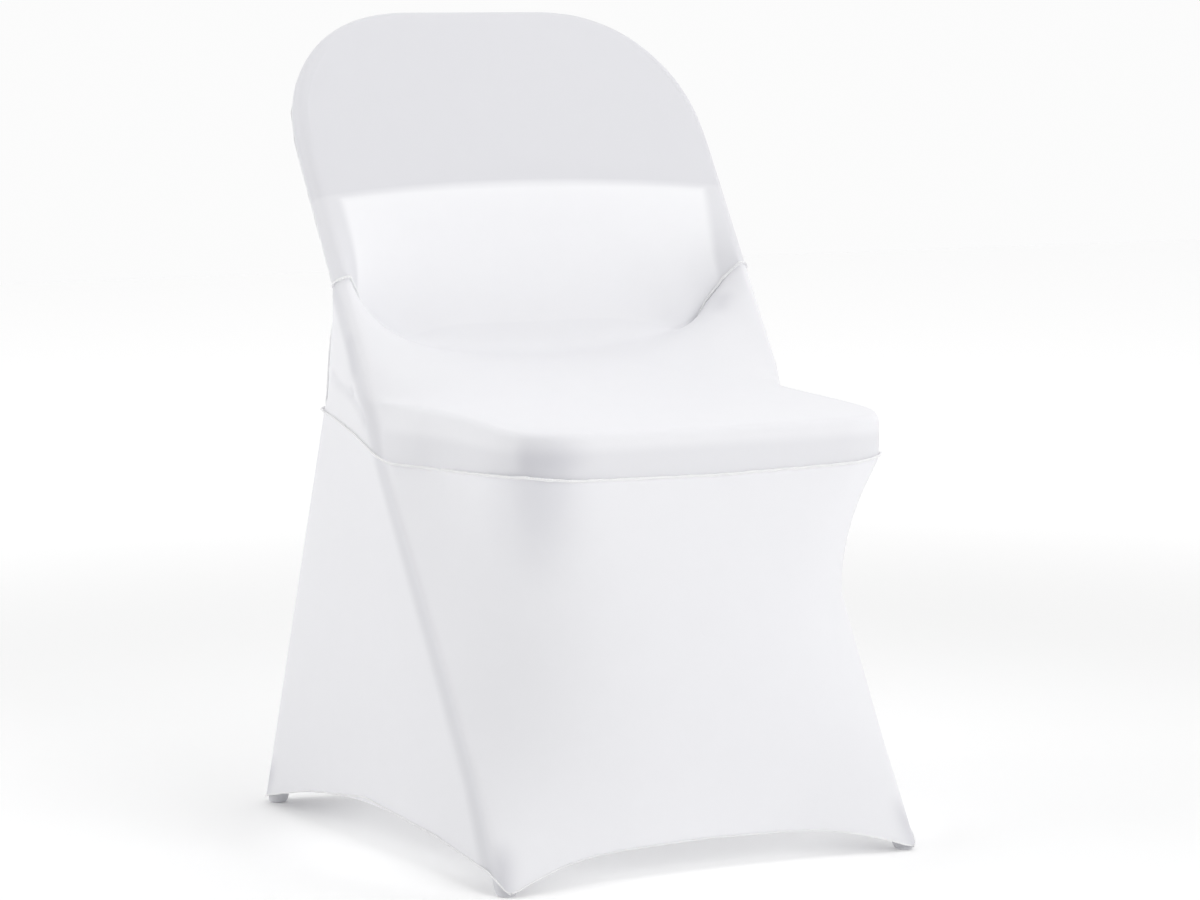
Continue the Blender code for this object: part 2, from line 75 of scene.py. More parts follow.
def through(rows: Array, cells: list[int]) -> Array:
    """Points on a smooth line through the rows that never overshoots them.

    Each stretch is a cubic whose slope at a row is the harmonic mean of the slopes on its two
    sides, and zero where those have opposite signs.

    Args:
        rows: The values to pass through, one row each.
        cells: How many cells lie between each row and the next.

    Returns:
        The values at every station, the last row included.
    """
    rows = np.asarray(rows, float)
    rise = np.diff(rows, axis=0)
    before, after = rise[:-1], rise[1:]
    both = before * after
    inner = np.where(both > 0, 2 * both / np.where(both > 0, before + after, 1.0), 0.0)
    slope = np.concatenate([rise[:1], inner, rise[-1:]])
    first = np.repeat(np.arange(len(cells)), cells)
    share = np.concatenate([np.arange(count) / count for count in cells])[:, None]
    start = (1 + 2 * share) * (1 - share) ** 2 * rows[first]
    end = share**2 * (3 - 2 * share) * rows[first + 1]
    leave = share * (1 - share) ** 2 * slope[first]
    arrive = share**2 * (share - 1) * slope[first + 1]
    return np.concatenate([start + end + leave + arrive, rows[-1:]])


def between(first: Array, last: Array, shares: Array) -> Array:
    """A sheet of straight lines from one edge line to another.

    Args:
        first: The first edge line.
        last: The last edge line.
        shares: How far along from first to last each row lies, 0 to 1.

    Returns:
        The grid of points, a row for each share.
    """
    share = np.asarray(shares)[:, None, None]
    return (1 - share) * first + share * last


def span(bottom: Array, top: Array, side: Array, shares: Optional[Array] = None) -> Array:
    """A sheet between four edge lines: its two ruled sheets, less the sheet of its corners.

    The fourth edge is the straight line between the first points of bottom and top.

    Args:
        bottom: The lower edge, from the middle to the side.
        top: The upper edge, from the middle to the side.
        side: The outer edge, from bottom to top.
        shares: How far up each row lies, 0 to 1, or none for even rows.

    Returns:
        The grid of points.
    """
    up = (np.linspace(0.0, 1.0, len(side)) if shares is None else shares)[:, None, None]
    across = np.linspace(0.0, 1.0, len(bottom))[None, :, None]
    rows = (1 - up) * bottom[None] + up * top[None]
    columns = (1 - across) * ((1 - up) * bottom[0] + up * top[0]) + across * side[:, None]
    low = (1 - across) * bottom[0] + across * bottom[-1]
    high = (1 - across) * top[0] + across * top[-1]
    return rows + columns - ((1 - up) * low + up * high)


def free(sheet: Array, rows_held: int = 1) -> Array:
    """The weight 1 off the edges of a half sheet, and 0 on its first rows, last row and side."""
    weight = np.zeros(sheet.shape[:2])
    weight[rows_held:-1, :-1] = 1.0
    return weight


def pulled(sheet: Array, weight: Array, across: float = 0.5, rounds: int = 500) -> Array:
    """The half sheet pulled taut, or rounded off, where its weight is above zero.

    Each point goes the weight's share of the way to the mean of its neighbours, again and again.
    With a weight of 1 that gives the shape of evenly pulled cloth. The first column lies on the
    mirror plane.

    Args:
        sheet: The half grid.
        weight: How freely each point moves, 0 to 1.
        across: The share of the pull that is from side to side.
        rounds: How often the points move.

    Returns:
        The new grid.
    """
    for _ in range(rounds):
        left = np.concatenate([sheet[:, 1:2] * MIRROR, sheet[:, :-1]], axis=1)
        right = np.concatenate([sheet[:, 1:], sheet[:, -1:]], axis=1)
        below = np.concatenate([sheet[:1], sheet[:-1]])
        above = np.concatenate([sheet[1:], sheet[-1:]])
        mean = (across * (left + right) + (1 - across) * (below + above)) / 2
        sheet = sheet + weight[..., None] * (mean - sheet)
    return sheet


def smoothstep(low: float, high: float, value: Array) -> Array:
    """A ramp from 0 at low to 1 at high that starts and ends level."""
    share = np.clip((value - low) / (high - low), 0.0, 1.0)
    return share * share * (3 - 2 * share)


def unit(vectors: Array) -> Array:
    """The vectors at length one."""
    return vectors / np.maximum(np.linalg.norm(vectors, axis=-1, keepdims=True), 1e-12)


def whole(half: Array) -> Array:
    """A line of the right half, followed by its mirrored half back from the middle."""
    return np.concatenate([half, (half * MIRROR)[::-1][1:]])


def on_right(points: Array) -> Array:
    """The points with those of the left half moved to their mirrored places."""
    return points * np.array([0.0, 1.0, 1.0]) + np.abs(points[:, :1]) * SIDEWAYS


def along_lines(points: Array, line: Array) -> tuple[Array, Array]:
    """How far points lie from a line of straight stretches, and how far along it.

    Args:
        points: The points, one a row.
        line: The line's corners, one a row.

    Returns:
        Each point's distance from the line, and its nearest place as a share of the line.
    """
    best = np.full(len(points), np.inf)
    share = np.zeros(len(points))
    lengths = np.linalg.norm(np.diff(line, axis=0), axis=1)
    total = lengths.sum()
    done = 0.0
    for start, end, length in zip(line, line[1:], lengths):
        way = (end - start) / length
        along = np.clip((points - start) @ way, 0.0, length)
        gap = np.linalg.norm(points - start - along[:, None] * way, axis=1)
        nearer = gap < best
        best = np.where(nearer, gap, best)
        share = np.where(nearer, (done + along) / total, share)
        done += length
    return best, share


@dataclass(frozen=True)
class Station:
    """A section round half of the seat panel and the skirt.

    Its rim is the middle of the roll at the seat panel's upper edge, and lies on the side tube
    where no x or y is given. The seam is the seat panel's lower or rear edge, and the hem is the
    skirt's edge below it.
    """

    name: str
    rim: tuple[Optional[float], Optional[float], float]
    roll: float
    tilt: float
    heading: float
    seam: Point
    hem: Point
    turn: float
    cells: int


# A row for each station, with its values in the order of Station's fields.
STATION_ROWS = (
    ("rail seam", (None, None, 0.53), 0.012, 1, 0, (0.2227, 0.1103, 0.525), (0, 0, 0), 1, 2),
    ("rail above seat", (None, None, 0.508), 0.012, 1, 0, (0.2105, 0.137, 0.495), (0, 0, 0), 1, 2),
    ("seat rear corner", (None, None, 0.486), 0.012, 1, 0, (0.203, 0.1645, 0.459), (0, 0, 0), 1, 1),
    ("rear seam", (None, None, 0.47), 0.012, 1, 0,
     (0.2045, 0.1695, 0.405), (0.2262, 0.2676, 0.005), 0.45, 1),
    ("rear edge", (None, None, 0.458), 0.012, 1, 0,
     (0.2125, 0.162, 0.4035), (0.234, 0.2614, 0.006), 0.15, 2),
    ("side rear", (None, None, 0.447), 0.012, 1, 0, (0.2185, 0.118, 0.3985), (0.235, 0.24, 0.011), 0, 2),
    ("side middle", (None, None, 0.434), 0.012, 1, 0, (0.2235, 0.06, 0.388), (0.231, 0.03, 0.0455), 0, 2),
    ("leg side", (0.211, 0.026, 0.419), 0.0118, 0.9, 0,
     (0.227, 0.008, 0.3745), (0.2232, -0.2135, 0.021), 0, 3),
    ("leg front", (0.1965, -0.008, 0.415), 0.01, 0.3, 0,
     (0.2225, -0.024, 0.3695), (0.2137, -0.2405, 0.004), 0, 2),
    ("seat side", (0.1895, -0.075, 0.4145), 0.009, 0, 0,
     (0.2, -0.075, 0.369), (0.192, -0.2365, 0.0105), 0, 2),
    ("seat side front", (0.191, -0.183, 0.41), 0.009, 0, 0,
     (0.2, -0.183, 0.375), (0.16, -0.229, 0.019), 0, 2),
    ("front corner", (0.179, -0.212, 0.407), 0.009, 0, 45,
     (0.1854, -0.2184, 0.376), (0.13, -0.2245, 0.0245), 0, 2),
    ("front side", (0.15, -0.224, 0.4065), 0.009, 0, 90,
     (0.15, -0.233, 0.3725), (0.095, -0.2215, 0.0275), 0, 8),
    ("front middle", (0, -0.224, 0.4055), 0.009, 0, 90, (0, -0.233, 0.3695), (0, -0.2195, 0.0298), 0, 0),
)


@dataclass(frozen=True)
class ChairForm:
    """The lines of the chair that the cloth lies on, and the lines that its panels share."""

    rail_x: float = 0.215
    rail_radius: float = 0.012
    rail_floor_y: float = -0.243
    rail_run: float = 0.652
    rail_seam_z: float = 0.530
    back_top_z: float = 0.786
    corner_radius: float = 0.131
    plate_side_z: float = 0.601
    plate_rise: float = 0.014
    plate_dish: float = 0.003
    wrap_degrees: float = 140.0
    back_across: float = 0.75
    lower_rows: int = 4
    plate_rows: int = 2
    corner_rows: int = 3
    corner_columns: int = 4
    flat_columns: int = 6
    wrap_cells: int = 5
    roll_cells: int = 3
    drop_cells: int = 2
    fold: tuple[tuple[float, float, float, int], ...] = (
        (0.0000, 0.1440, 0.4470, 3),
        (0.0800, 0.1420, 0.4490, 2),
        (0.1380, 0.1310, 0.4545, 1),
        (0.1700, 0.1155, 0.4655, 1),
        (0.1820, 0.1200, 0.4815, 1),
        (0.1905, 0.1170, 0.4975, 1),
        (0.2015, 0.1040, 0.5190, 1),
    )
    leg: tuple[tuple[float, float, float], ...] = (
        (0.000, 0.2115, -0.2275),
        (0.090, 0.2065, -0.1765),
        (0.200, 0.2085, -0.1080),
        (0.370, 0.2150, -0.0018),
    )
    leg_radius: float = 0.0125
    stations: tuple[Station, ...] = tuple(Station(*row) for row in STATION_ROWS)
    soft_rows: float = 2.2
    soft_columns: tuple[float, float] = (3.5, 5.6)
    soft_share: float = 0.85
    soft_rounds: int = 9
    plate_ramp: tuple[float, float] = (-0.004, 0.006)
    rail_ramp: tuple[float, float] = (0.0135, 0.022)
    flank_ramp: tuple[float, float] = (0.003, 0.016)
    flank_way: Point = (0.75, 0.45, 0.0)

    @property
    def lean(self) -> float:
        """The back's lean from upright, in radians."""
        return math.atan(self.rail_run)

    @property
    def along(self) -> Array:
        """The way up the leaning tubes."""
        return np.array([0.0, math.sin(self.lean), math.cos(self.lean)])

    @property
    def front(self) -> Array:
        """The way that the leaning tubes' front faces."""
        return np.array([0.0, -math.cos(self.lean), math.sin(self.lean)])

    def rail_middle(self, z: float) -> Array:
        """The middle of the side tube at a height."""
        return np.array([self.rail_x, self.rail_floor_y + self.rail_run * z, z])

    def on_plane(self, x: Array, length: Array) -> Array:
        """Points of the leaning plane through the tubes, by width and by length up it."""
        foot = np.array([0.0, self.rail_floor_y, 0.0])
        return foot + np.asarray(x)[..., None] * SIDEWAYS + np.asarray(length)[..., None] * self.along

    def edge_strip(self) -> Array:
        """The cloth rolled round the back frame, from its front to the seam at its rear.

        Each row is the frame's line moved a radius along a direction that turns from the
        front's, through the outward one, to the rear's.

        Returns:
            The grid, a row for each angle, from the rail's seam to the middle of the top.
        """
        run = 1 / math.cos(self.lean)
        centre_x = self.rail_x - self.corner_radius
        centre = (self.back_top_z - self.rail_radius) * run - self.corner_radius
        lower = np.linspace(self.rail_seam_z * run, self.plate_side_z * run, self.lower_rows + 1)
        upper = np.linspace(self.plate_side_z * run, centre, self.plate_rows + 1)[1:]
        rail = np.concatenate([lower, upper])
        first = np.linspace(0, math.pi / 4, self.corner_rows + 1)[1:]
        second = np.linspace(math.pi / 4, math.pi / 2, self.corner_columns + 1)[1:]
        turn = np.concatenate([first, second])
        flat = np.linspace(centre_x, 0.0, self.flat_columns + 1)[1:]
        bend_x = centre_x + self.corner_radius * np.cos(turn)
        bend = centre + self.corner_radius * np.sin(turn)
        width = np.concatenate([np.full(len(rail), self.rail_x), bend_x, flat])
        length = np.concatenate([rail, bend, np.full(len(flat), centre + self.corner_radius)])
        outward = np.concatenate([np.zeros(len(rail)), turn, np.full(len(flat), math.pi / 2)])
        middle = self.on_plane(width, length)
        out = np.cos(outward)[:, None] * SIDEWAYS + np.sin(outward)[:, None] * self.along
        angles = np.radians(np.linspace(0.0, self.wrap_degrees, self.wrap_cells + 1))[:, None, None]
        return middle + self.rail_radius * (np.cos(angles) * self.front + np.sin(angles) * out)

    def plate_edge(self, depth: float) -> Array:
        """The arched lower edge of the back plate, from the middle out, a depth off the frame."""
        x = np.linspace(0.0, self.rail_x, self.corner_columns + self.flat_columns + 1)
        rise = self.plate_rise * (1 - (x / self.rail_x) ** 2)
        return self.on_plane(x, (self.plate_side_z + rise) / math.cos(self.lean)) + depth * self.front

    def dished(self, sheet: Array, depth: float) -> Array:
        """A plate's sheet pressed in by a depth times a parabola across and one up it."""
        across = np.clip(1 - (sheet[..., 0] / self.rail_x) ** 2, 0, 1)
        up = np.linspace(0.0, 1.0, len(sheet))[:, None]
        return sheet - (depth * across * (1 - up**2))[..., None] * self.front

    def fold_line(self) -> Array:
        """The seam of back and seat, from the middle to the front of the rail."""
        rows = [row[:3] for row in self.fold]
        rows.append(self.rail_middle(self.rail_seam_z) + self.rail_radius * self.front)
        return through(rows, [row[3] for row in self.fold])

    def lines(self) -> dict[str, Array]:
        """The rim, seam and hem lines, with the rolls' radii and directions.

        Returns:
            Each line or value by name, with a row for each station from the rail's seam on.
        """
        table = []
        for one in self.stations:
            middle = self.rail_middle(one.rim[2])
            rim = [middle[k] if one.rim[k] is None else one.rim[k] for k in range(3)]
            table.append([*rim, one.roll, one.tilt, one.heading, *one.seam, *one.hem, one.turn])
        points = through(np.array(table, float), [one.cells for one in self.stations[:-1]])
        tilt, heading = points[:, 4:5], np.radians(points[:, 5])
        over = tilt * self.front + (1 - tilt) * UP
        return {
            "rim": points[:, 0:3],
            "roll": points[:, 3:4],
            "over": over / np.linalg.norm(over, axis=1)[:, None],
            "out": np.stack([np.cos(heading), -np.sin(heading), 0 * heading], axis=1),
            "seam": points[:, 6:9],
            "hem": points[:, 9:12],
            "turn": points[:, 12:13],
        }

    def start(self, name: str) -> int:
        """The number of the first cell after a named station."""
        names = [one.name for one in self.stations]
        return sum(one.cells for one in self.stations[: names.index(name)])

    def seat_strip(self) -> Array:
        """The seat panel's edge, rolled over the rim and dropped to the seam.

        The roll is a quarter turn. The drop is a cubic with four handles, which leaves the roll
        straight and reaches the seam going down, or going inwards round the rear corner.

        Returns:
            The grid, from the rim's row to the seam's.
        """
        lines = self.lines()
        angles = np.radians(np.linspace(0.0, 90.0, self.roll_cells + 1))[:, None, None]
        way = np.cos(angles) * lines["over"] + np.sin(angles) * lines["out"]
        rolled = lines["rim"] + lines["roll"] * way
        begin, seam = rolled[-1], lines["seam"]
        handle = np.linalg.norm(seam - begin, axis=1)[:, None] / 3
        leave = begin - handle * lines["over"]
        from_side = np.minimum(handle, self.rail_radius) * SIDEWAYS
        arrive = seam + lines["turn"] * from_side + (1 - lines["turn"]) * handle * UP
        share = np.linspace(0.0, 1.0, self.drop_cells + 1)[1:, None, None]
        rest = 1 - share
        drop = rest**3 * begin + 3 * rest**2 * share * leave
        drop = drop + 3 * rest * share**2 * arrive + share**3 * seam
        return np.concatenate([rolled, drop])

    def plate(self, line: Array, side: int) -> Array:
        """The sheet over the back plate, from its arched lower edge to the middle of the top.

        Args:
            line: The line round the frame that the sheet meets, from the rail's seam on.
            side: 1 for the front's sheet and -1 for the rear's.

        Returns:
            The grid, pressed in a little.
        """
        first, last = self.lower_rows, self.lower_rows + self.plate_rows + self.corner_rows
        edge = self.plate_edge(side * self.rail_radius)
        edge[-1] = line[first]
        sheet = span(edge, line[last:][::-1], line[first : last + 1])
        return self.dished(sheet, side * self.plate_dish)

    def back_and_seat(self) -> tuple[Array, Array, Array]:
        """The seat's top, the back below the plate, and the plate, as one soft run of cloth.

        The seat's top and the back below the plate are drawn taut, and the fold between them is
        rounded off where no seam pulls it in.

        Returns:
            The seat's top, the lower back and the plate's part, each from its lower edge up.
        """
        strip, rim = self.edge_strip(), self.seat_strip()[0]
        fold, corner = self.fold_line(), self.start("front corner")
        top = span(rim[corner:][::-1], fold, rim[: corner + 1][::-1])
        top = pulled(top, free(top))
        plate = self.plate(strip[0], 1)
        low = span(fold, plate[0], strip[0, : self.lower_rows + 1])
        low = pulled(low, free(low), self.back_across)

        run = np.concatenate([top, low[1:]])
        rows = np.arange(len(run))[:, None] - (len(top) - 1)
        columns = np.arange(run.shape[1])[None]
        near = np.exp(-((rows / self.soft_rows) ** 2)) * (1 - smoothstep(*self.soft_columns, columns))
        near = near * (rows < self.lower_rows)
        run = pulled(run, self.soft_share * near, rounds=self.soft_rounds)
        return run[: len(top)], run[len(top) - 1 :], plate

    def plate_mask(self, points: Array) -> Array:
        """Where the back plate lies behind the cloth.

        It is a ramp, from the plate's arched lower edge up, of the height along the leaning frame.

        Args:
            points: The points, from the floor up.

        Returns:
            The mask, 0 to 1.
        """
        x = np.clip(np.abs(points[:, 0]) / self.rail_x, 0, 1)
        edge = (self.plate_side_z + self.plate_rise * (1 - x**2)) / math.cos(self.lean)
        height = (points - np.array([0.0, self.rail_floor_y, 0.0])) @ self.along
        return smoothstep(*self.plate_ramp, height - edge)

    def rail_mask(self, points: Array) -> Array:
        """Where a side tube lies behind the cloth: a ramp of the distance from its middle line."""
        off = on_right(points) - np.array([self.rail_x, self.rail_floor_y, 0.0])
        gap = np.linalg.norm(off - (off @ self.along)[:, None] * self.along, axis=1)
        return 1 - smoothstep(*self.rail_ramp, gap)

    def flank_shade_mask(self, points: Array) -> Array:
        """Painted shade where the outer flank of a rail or front leg, its side away from the light, lies
        behind the cloth.

        It is a ramp of the distance from a line along the tube's flank, outwards and to the rear.

        Args:
            points: The points, from the floor up.

        Returns:
            The mask, 0 to 1.
        """
        rows = [(x, y, z) for z, x, y in self.leg] + [tuple(self.rail_middle(self.rail_seam_z))]
        line = np.array(rows) + self.rail_radius * np.array(self.flank_way)
        gap, _ = along_lines(on_right(points), line)
        return 1 - smoothstep(*self.flank_ramp, gap)


@dataclass(frozen=True)
class Crease:
    """A soft trough along a line on the cloth with painted shade in it, or with a depth of 0 painted shade
    alone.

    The cloth moves in by the depth times a bell curve of its distance from the line, which
    fades out over a share of the line at each end. It gets painted shade in the same way, by the shade.
    """

    line: tuple[Point, ...]
    depth: float
    width: float
    fade_start: float
    fade_end: float
    shade: float
    both_sides: bool = False

    def strength(self, points: Array) -> Array:
        """How much of the crease each point feels, 0 to 1."""
        if self.both_sides:
            points = on_right(points) * MIRROR
        gap, share = along_lines(points, np.array(self.line, float))
        bell = np.exp(-((gap / self.width) ** 2))
        for length, from_end in ((self.fade_start, share), (self.fade_end, 1 - share)):
            if length > 0:
                bell = bell * smoothstep(0.0, length, from_end)
        return bell


CREASES = (
    # Painted shade in a shallow trough along the seam of back and seat, where it runs into the right tube.
    Crease(
        ((0.2015, 0.104, 0.519), (0.1905, 0.117, 0.4975), (0.182, 0.12, 0.4815), (0.17, 0.1155, 0.4655)),
        0.0008, 0.003, 0.2, 0.1, 0.12,
    ),
    # Painted shade in shallow troughs at the left hip, from the tube down to the overlocked seam, with a
    # dimple.
    Crease(
        ((-0.216, 0.14, 0.444), (-0.22, 0.104, 0.434), (-0.2225, 0.0687, 0.4263), (-0.2235, 0.046, 0.413),
         (-0.2245, 0.032, 0.396)),
        0.0016, 0.005, 0.1, 0.1, 0.18,
    ),
    Crease(((-0.219, 0.073, 0.436), (-0.2225, 0.066, 0.424)), 0.002, 0.006, 0.3, 0.3, 0.3),
    # Painted shade at the front left corner, where the cloth turns away from the light, above the overlocked
    # seam and below it, with shallow troughs.
    Crease(
        ((-0.115, -0.2335, 0.39), (-0.15, -0.2325, 0.39), (-0.183, -0.22, 0.389), (-0.196, -0.198, 0.391)),
        0.0012, 0.021, 0.6, 0.25, 0.5,
    ),
    Crease(
        ((-0.17, -0.22, 0.372), (-0.169, -0.211, 0.34), (-0.169, -0.199, 0.3), (-0.169, -0.19, 0.25)),
        0.001, 0.033, 0.0, 0.95, 0.36,
    ),
    Crease(((-0.19, -0.205, 0.36), (-0.188, -0.19, 0.3), (-0.186, -0.18, 0.25)), 0.0, 0.045, 0.0, 0.8, 0.15),
    # Painted shade alone on the left flank and the right gusset.
    Crease(
        ((-0.225, 0.075, 0.49), (-0.2265, 0.064, 0.455), (-0.2268, 0.058, 0.436)), 0.0, 0.01, 0.3, 0.3, 0.2
    ),
    Crease(((0.2005, 0.0938, 0.5104), (0.1797, 0.0791, 0.4844)), 0.0, 0.01, 0.3, 0.5, 0.2),
    # Painted shade alone above the rear and the front feet.
    Crease(
        ((-0.23, 0.264, 0.005), (-0.2335, 0.248, 0.035), (-0.2335, 0.235, 0.055)),
        0.0, 0.012, 0.0, 0.6, 0.42, True,
    ),
    Crease(
        ((-0.2175, -0.2371, 0.006), (-0.2127, -0.2224, 0.035), (-0.211, -0.212, 0.055)),
        0.0, 0.011, 0.0, 0.6, 0.38, True,
    ),
)


class Socket:
    """A shader value that can be added, multiplied and compared like a number."""

    def __init__(self, graph: "Graph", output: bpy.types.NodeSocket) -> None:
        """Keeps the graph and the node output that the value comes from."""
        self.graph, self.output = graph, output

    def _maths(self, operation: str, *values: object) -> "Socket":
        """The result of a Math node on the values."""
        return self.graph.add("ShaderNodeMath", {"operation": operation}, *values)

    def __add__(self, other: object) -> "Socket":
        """This value plus another."""
        return self._maths("ADD", self, other)

    __radd__ = __add__

    def __sub__(self, other: object) -> "Socket":
        """This value less another."""
        return self._maths("SUBTRACT", self, other)

    def __rsub__(self, other: object) -> "Socket":
        """Another value less this one."""
        return self._maths("SUBTRACT", other, self)

    def __mul__(self, other: object) -> "Socket":
        """This value times another."""
        return self._maths("MULTIPLY", self, other)

    __rmul__ = __mul__

    def sine(self) -> "Socket":
        """The sine of this value, in radians."""
        return self._maths("SINE", self)

    def part(self, name: str) -> "Socket":
        """Another output of the same node."""
        return Socket(self.graph, next(one for one in self.output.node.outputs if one.identifier == name))


class Graph:
    """The nodes of one material, or of the room."""

    def __init__(self, owner: bpy.types.ID) -> None:
        """Empties the graph of a new material or world."""
        self.owner = owner
        owner.use_nodes = True
        self.tree = owner.node_tree
        self.tree.nodes.clear()

    def add(
        self, kind: str, settings: Optional[dict[str, object]] = None, *values: object, **named: object
    ) -> Socket:
        """Adds a node.

        Args:
            kind: The node's type.
            settings: Its settings, which are set first.
            values: Values or links of its sockets, in order.
            named: Values or links of its sockets by name, with underscores for spaces.

        Returns:
            The node's first output.
        """
        node = self.tree.nodes.new(kind)
        for key, value in (settings or {}).items():
            setattr(node, key, value)
        sockets = {one.identifier.replace(" ", "_"): one for one in node.inputs}
        wanted = list(zip(node.inputs, values))
        wanted += [(sockets[key], value) for key, value in named.items()]
        for socket, value in wanted:
            if isinstance(value, Socket):
                self.tree.links.new(value.output, socket)
            else:
                socket.default_value = value
        return Socket(self, node.outputs[0] if node.outputs else None)

    def mix(self, share: object, first: object, second: object) -> Socket:
        """A colour between two colours, by a share."""
        colours = {"Factor_Float": share, "A_Color": first, "B_Color": second}
        return self.add("ShaderNodeMix", {"data_type": "RGBA"}, **colours).part("Result_Color")

    def ramp(self, value: Socket, low: float, high: float, start: float = 0.0, end: float = 1.0) -> Socket:
        """A smooth ramp of a value, from start at low to end at high."""
        limits = {"From_Min": low, "From_Max": high, "To_Min": start, "To_Max": end}
        return self.add("ShaderNodeMapRange", {"interpolation_type": "SMOOTHSTEP"}, value, **limits)

    def cut_place(self) -> tuple[Socket, Socket]:
        """The place on the cut cloth, across and along."""
        axes = self.add("ShaderNodeSeparateXYZ", None, self.add("ShaderNodeUVMap", {"uv_map": "cut"}))
        return axes.part("X"), axes.part("Y")

    def surface(self, **named: object) -> bpy.types.Material:
        """The material, with a Principled BSDF of the values or links as its surface."""
        shader = self.add("ShaderNodeBsdfPrincipled", None, **named)
        self.add("ShaderNodeOutputMaterial", None, Surface=shader)
        return self.owner


@dataclass(frozen=True)
class KnitFinish:
    """A smooth white stretch knit, with painted shade where the chair lies close behind it and in creases."""

    name: str
    open_colour: Colour = (0.87, 0.87, 0.895)
    # Painted shade: the second colour where the chair lies behind the cloth, the third in creases.
    chair_shade_colour: Colour = (0.745, 0.745, 0.775)
    crease_shade_colour: Colour = (0.50, 0.50, 0.55)
    shade_colour: Colour = (0.62, 0.62, 0.66)
    roughness: float = 0.50
    specular: float = 0.50
    wale: float = 0.0011
    course: float = 0.0014
    relief: float = 0.00005
    blotch_scale: float = 38.0
    blotch_shade: float = 0.05
    blotch_rough: float = 0.10
    loop_shade: float = 0.012
    fuzz_scale: float = 900.0

    def dress(self) -> bpy.types.Material:
        """Makes the knit: loops in rows and columns, soft blotches, and painted shade over the chair and in
        creases.
        """
        graph = Graph(bpy.data.materials.new(self.name))
        place = graph.add("ShaderNodeTexCoord").part("Object")
        across, along = graph.cut_place()
        column = (across * (2 * math.pi / self.wale)).sine()
        row = (along * (2 * math.pi / self.course)).sine()
        loops = column * 0.35 + column * row * 0.25
        noise = "ShaderNodeTexNoise"
        blotch = graph.add(noise, None, place, Scale=self.blotch_scale, Detail=4.0, Roughness=0.6) - 0.5
        fuzz = graph.add(noise, None, place, Scale=self.fuzz_scale, Detail=2.0) - 0.5
        # Painted shade where the chair lies behind the cloth, and painted shade in the creases.
        chair_shade = graph.add("ShaderNodeAttribute", {"attribute_name": "chair_shade_share"}).part("Fac")
        crease_shade = graph.add("ShaderNodeAttribute", {"attribute_name": "crease"}).part("Fac")
        tone = graph.mix(chair_shade, (*self.open_colour, 1), (*self.chair_shade_colour, 1))
        tone = graph.mix(crease_shade, tone, (*self.crease_shade_colour, 1))
        shade = blotch * self.blotch_shade + loops * self.loop_shade + self.loop_shade
        tone = graph.mix(shade, tone, (*self.shade_colour, 1))
        height = loops * self.relief + fuzz * (self.relief * 1.5)
        normal = graph.add("ShaderNodeBump", None, Strength=0.6, Distance=1.0, Height=height)
        rough = blotch * self.blotch_rough + self.roughness
        return graph.surface(
            Base_Color=tone, Roughness=rough, Normal=normal, Specular_IOR_Level=self.specular
        )


@dataclass(frozen=True)
class ThreadFinish:
    """Bright overlock thread, twisted in short stitches."""

    name: str = "overlock_thread"
    colour: Colour = (0.97, 0.97, 0.975)
    # Painted shade in the gaps between the stitches.
    gap_shade_colour: Colour = (0.55, 0.55, 0.60)
    stitch: float = 0.0026
    relief: float = 0.0002

    def dress(self) -> bpy.types.Material:
        """Makes the thread: slanting stitches along the bead, with painted shade in the gaps."""
        graph = Graph(bpy.data.materials.new(self.name))
        across, along = graph.cut_place()
        twist = (along * (2 * math.pi / self.stitch) + across * (2 * math.pi)).sine()
        tone = graph.mix(twist * 0.10 + 0.08, (*self.colour, 1), (*self.gap_shade_colour, 1))
        height = twist * -self.relief
        normal = graph.add("ShaderNodeBump", None, Strength=0.7, Distance=1.0, Height=height)
        return graph.surface(
            Base_Color=tone, Roughness=0.7, Normal=normal, Sheen_Weight=0.1, Specular_IOR_Level=0.3
        )


@dataclass
class Patch:
    """A grid of cloth and the way that it faces."""

    points: Array
    facing: Facing

    def cut(self) -> Array:
        """Each point's place on the uncut cloth: its length across from the middle and along."""
        across = np.linalg.norm(np.diff(self.points, axis=1), axis=2)
        along = np.linalg.norm(np.diff(self.points, axis=0), axis=2)
        u = np.concatenate([np.zeros((len(across), 1)), np.cumsum(across, axis=1)], axis=1)
        v = np.concatenate([np.zeros((1, along.shape[1])), np.cumsum(along, axis=0)])
        return np.stack([u, v], axis=-1)

    def quads(self) -> Array:
        """The corners of each cell, numbered along the rows, seen from the outer side."""
        rows, columns = self.points.shape[:2]
        first = (np.arange(rows - 1)[:, None] * columns + np.arange(columns - 1)).ravel()
        quads = np.stack([first, first + 1, first + columns + 1, first + columns], axis=1)
        across = np.diff(self.points, axis=1)[:-1]
        along = np.diff(self.points, axis=0)[:, :-1]
        way = np.cross(across, along).reshape(-1, 3).sum(axis=0)
        return quads if way @ np.array(self.facing.value) > 0 else quads[:, ::-1]


@dataclass
class Panel:
    """One cut panel of the cover."""

    form: ChairForm
    node: str
    slot: str
    finish: KnitFinish
    flat: tuple[float, float]
    area: float
    thickness: float = 0.0010
    mirrored: bool = True

    def patches(self) -> list[Patch]:
        """The panel's grids. Each kind of panel gives its own."""
        raise NotImplementedError

    def chair_shade_share(self, points: Array) -> Array:
        """How much painted shade each point gets, for how close the chair lies behind the cloth, 0 to 1."""
        return np.zeros(len(points))

    def declare(self, piece: bpy.types.Object, with_pieces: list[bpy.types.Object]) -> None:
        """Does nothing."""


def facings(points: Array, cells: Array) -> Array:
    """The cross product of each cell's diagonals."""
    return np.cross(points[cells[:, 2]] - points[cells[:, 0]], points[cells[:, 3]] - points[cells[:, 1]])


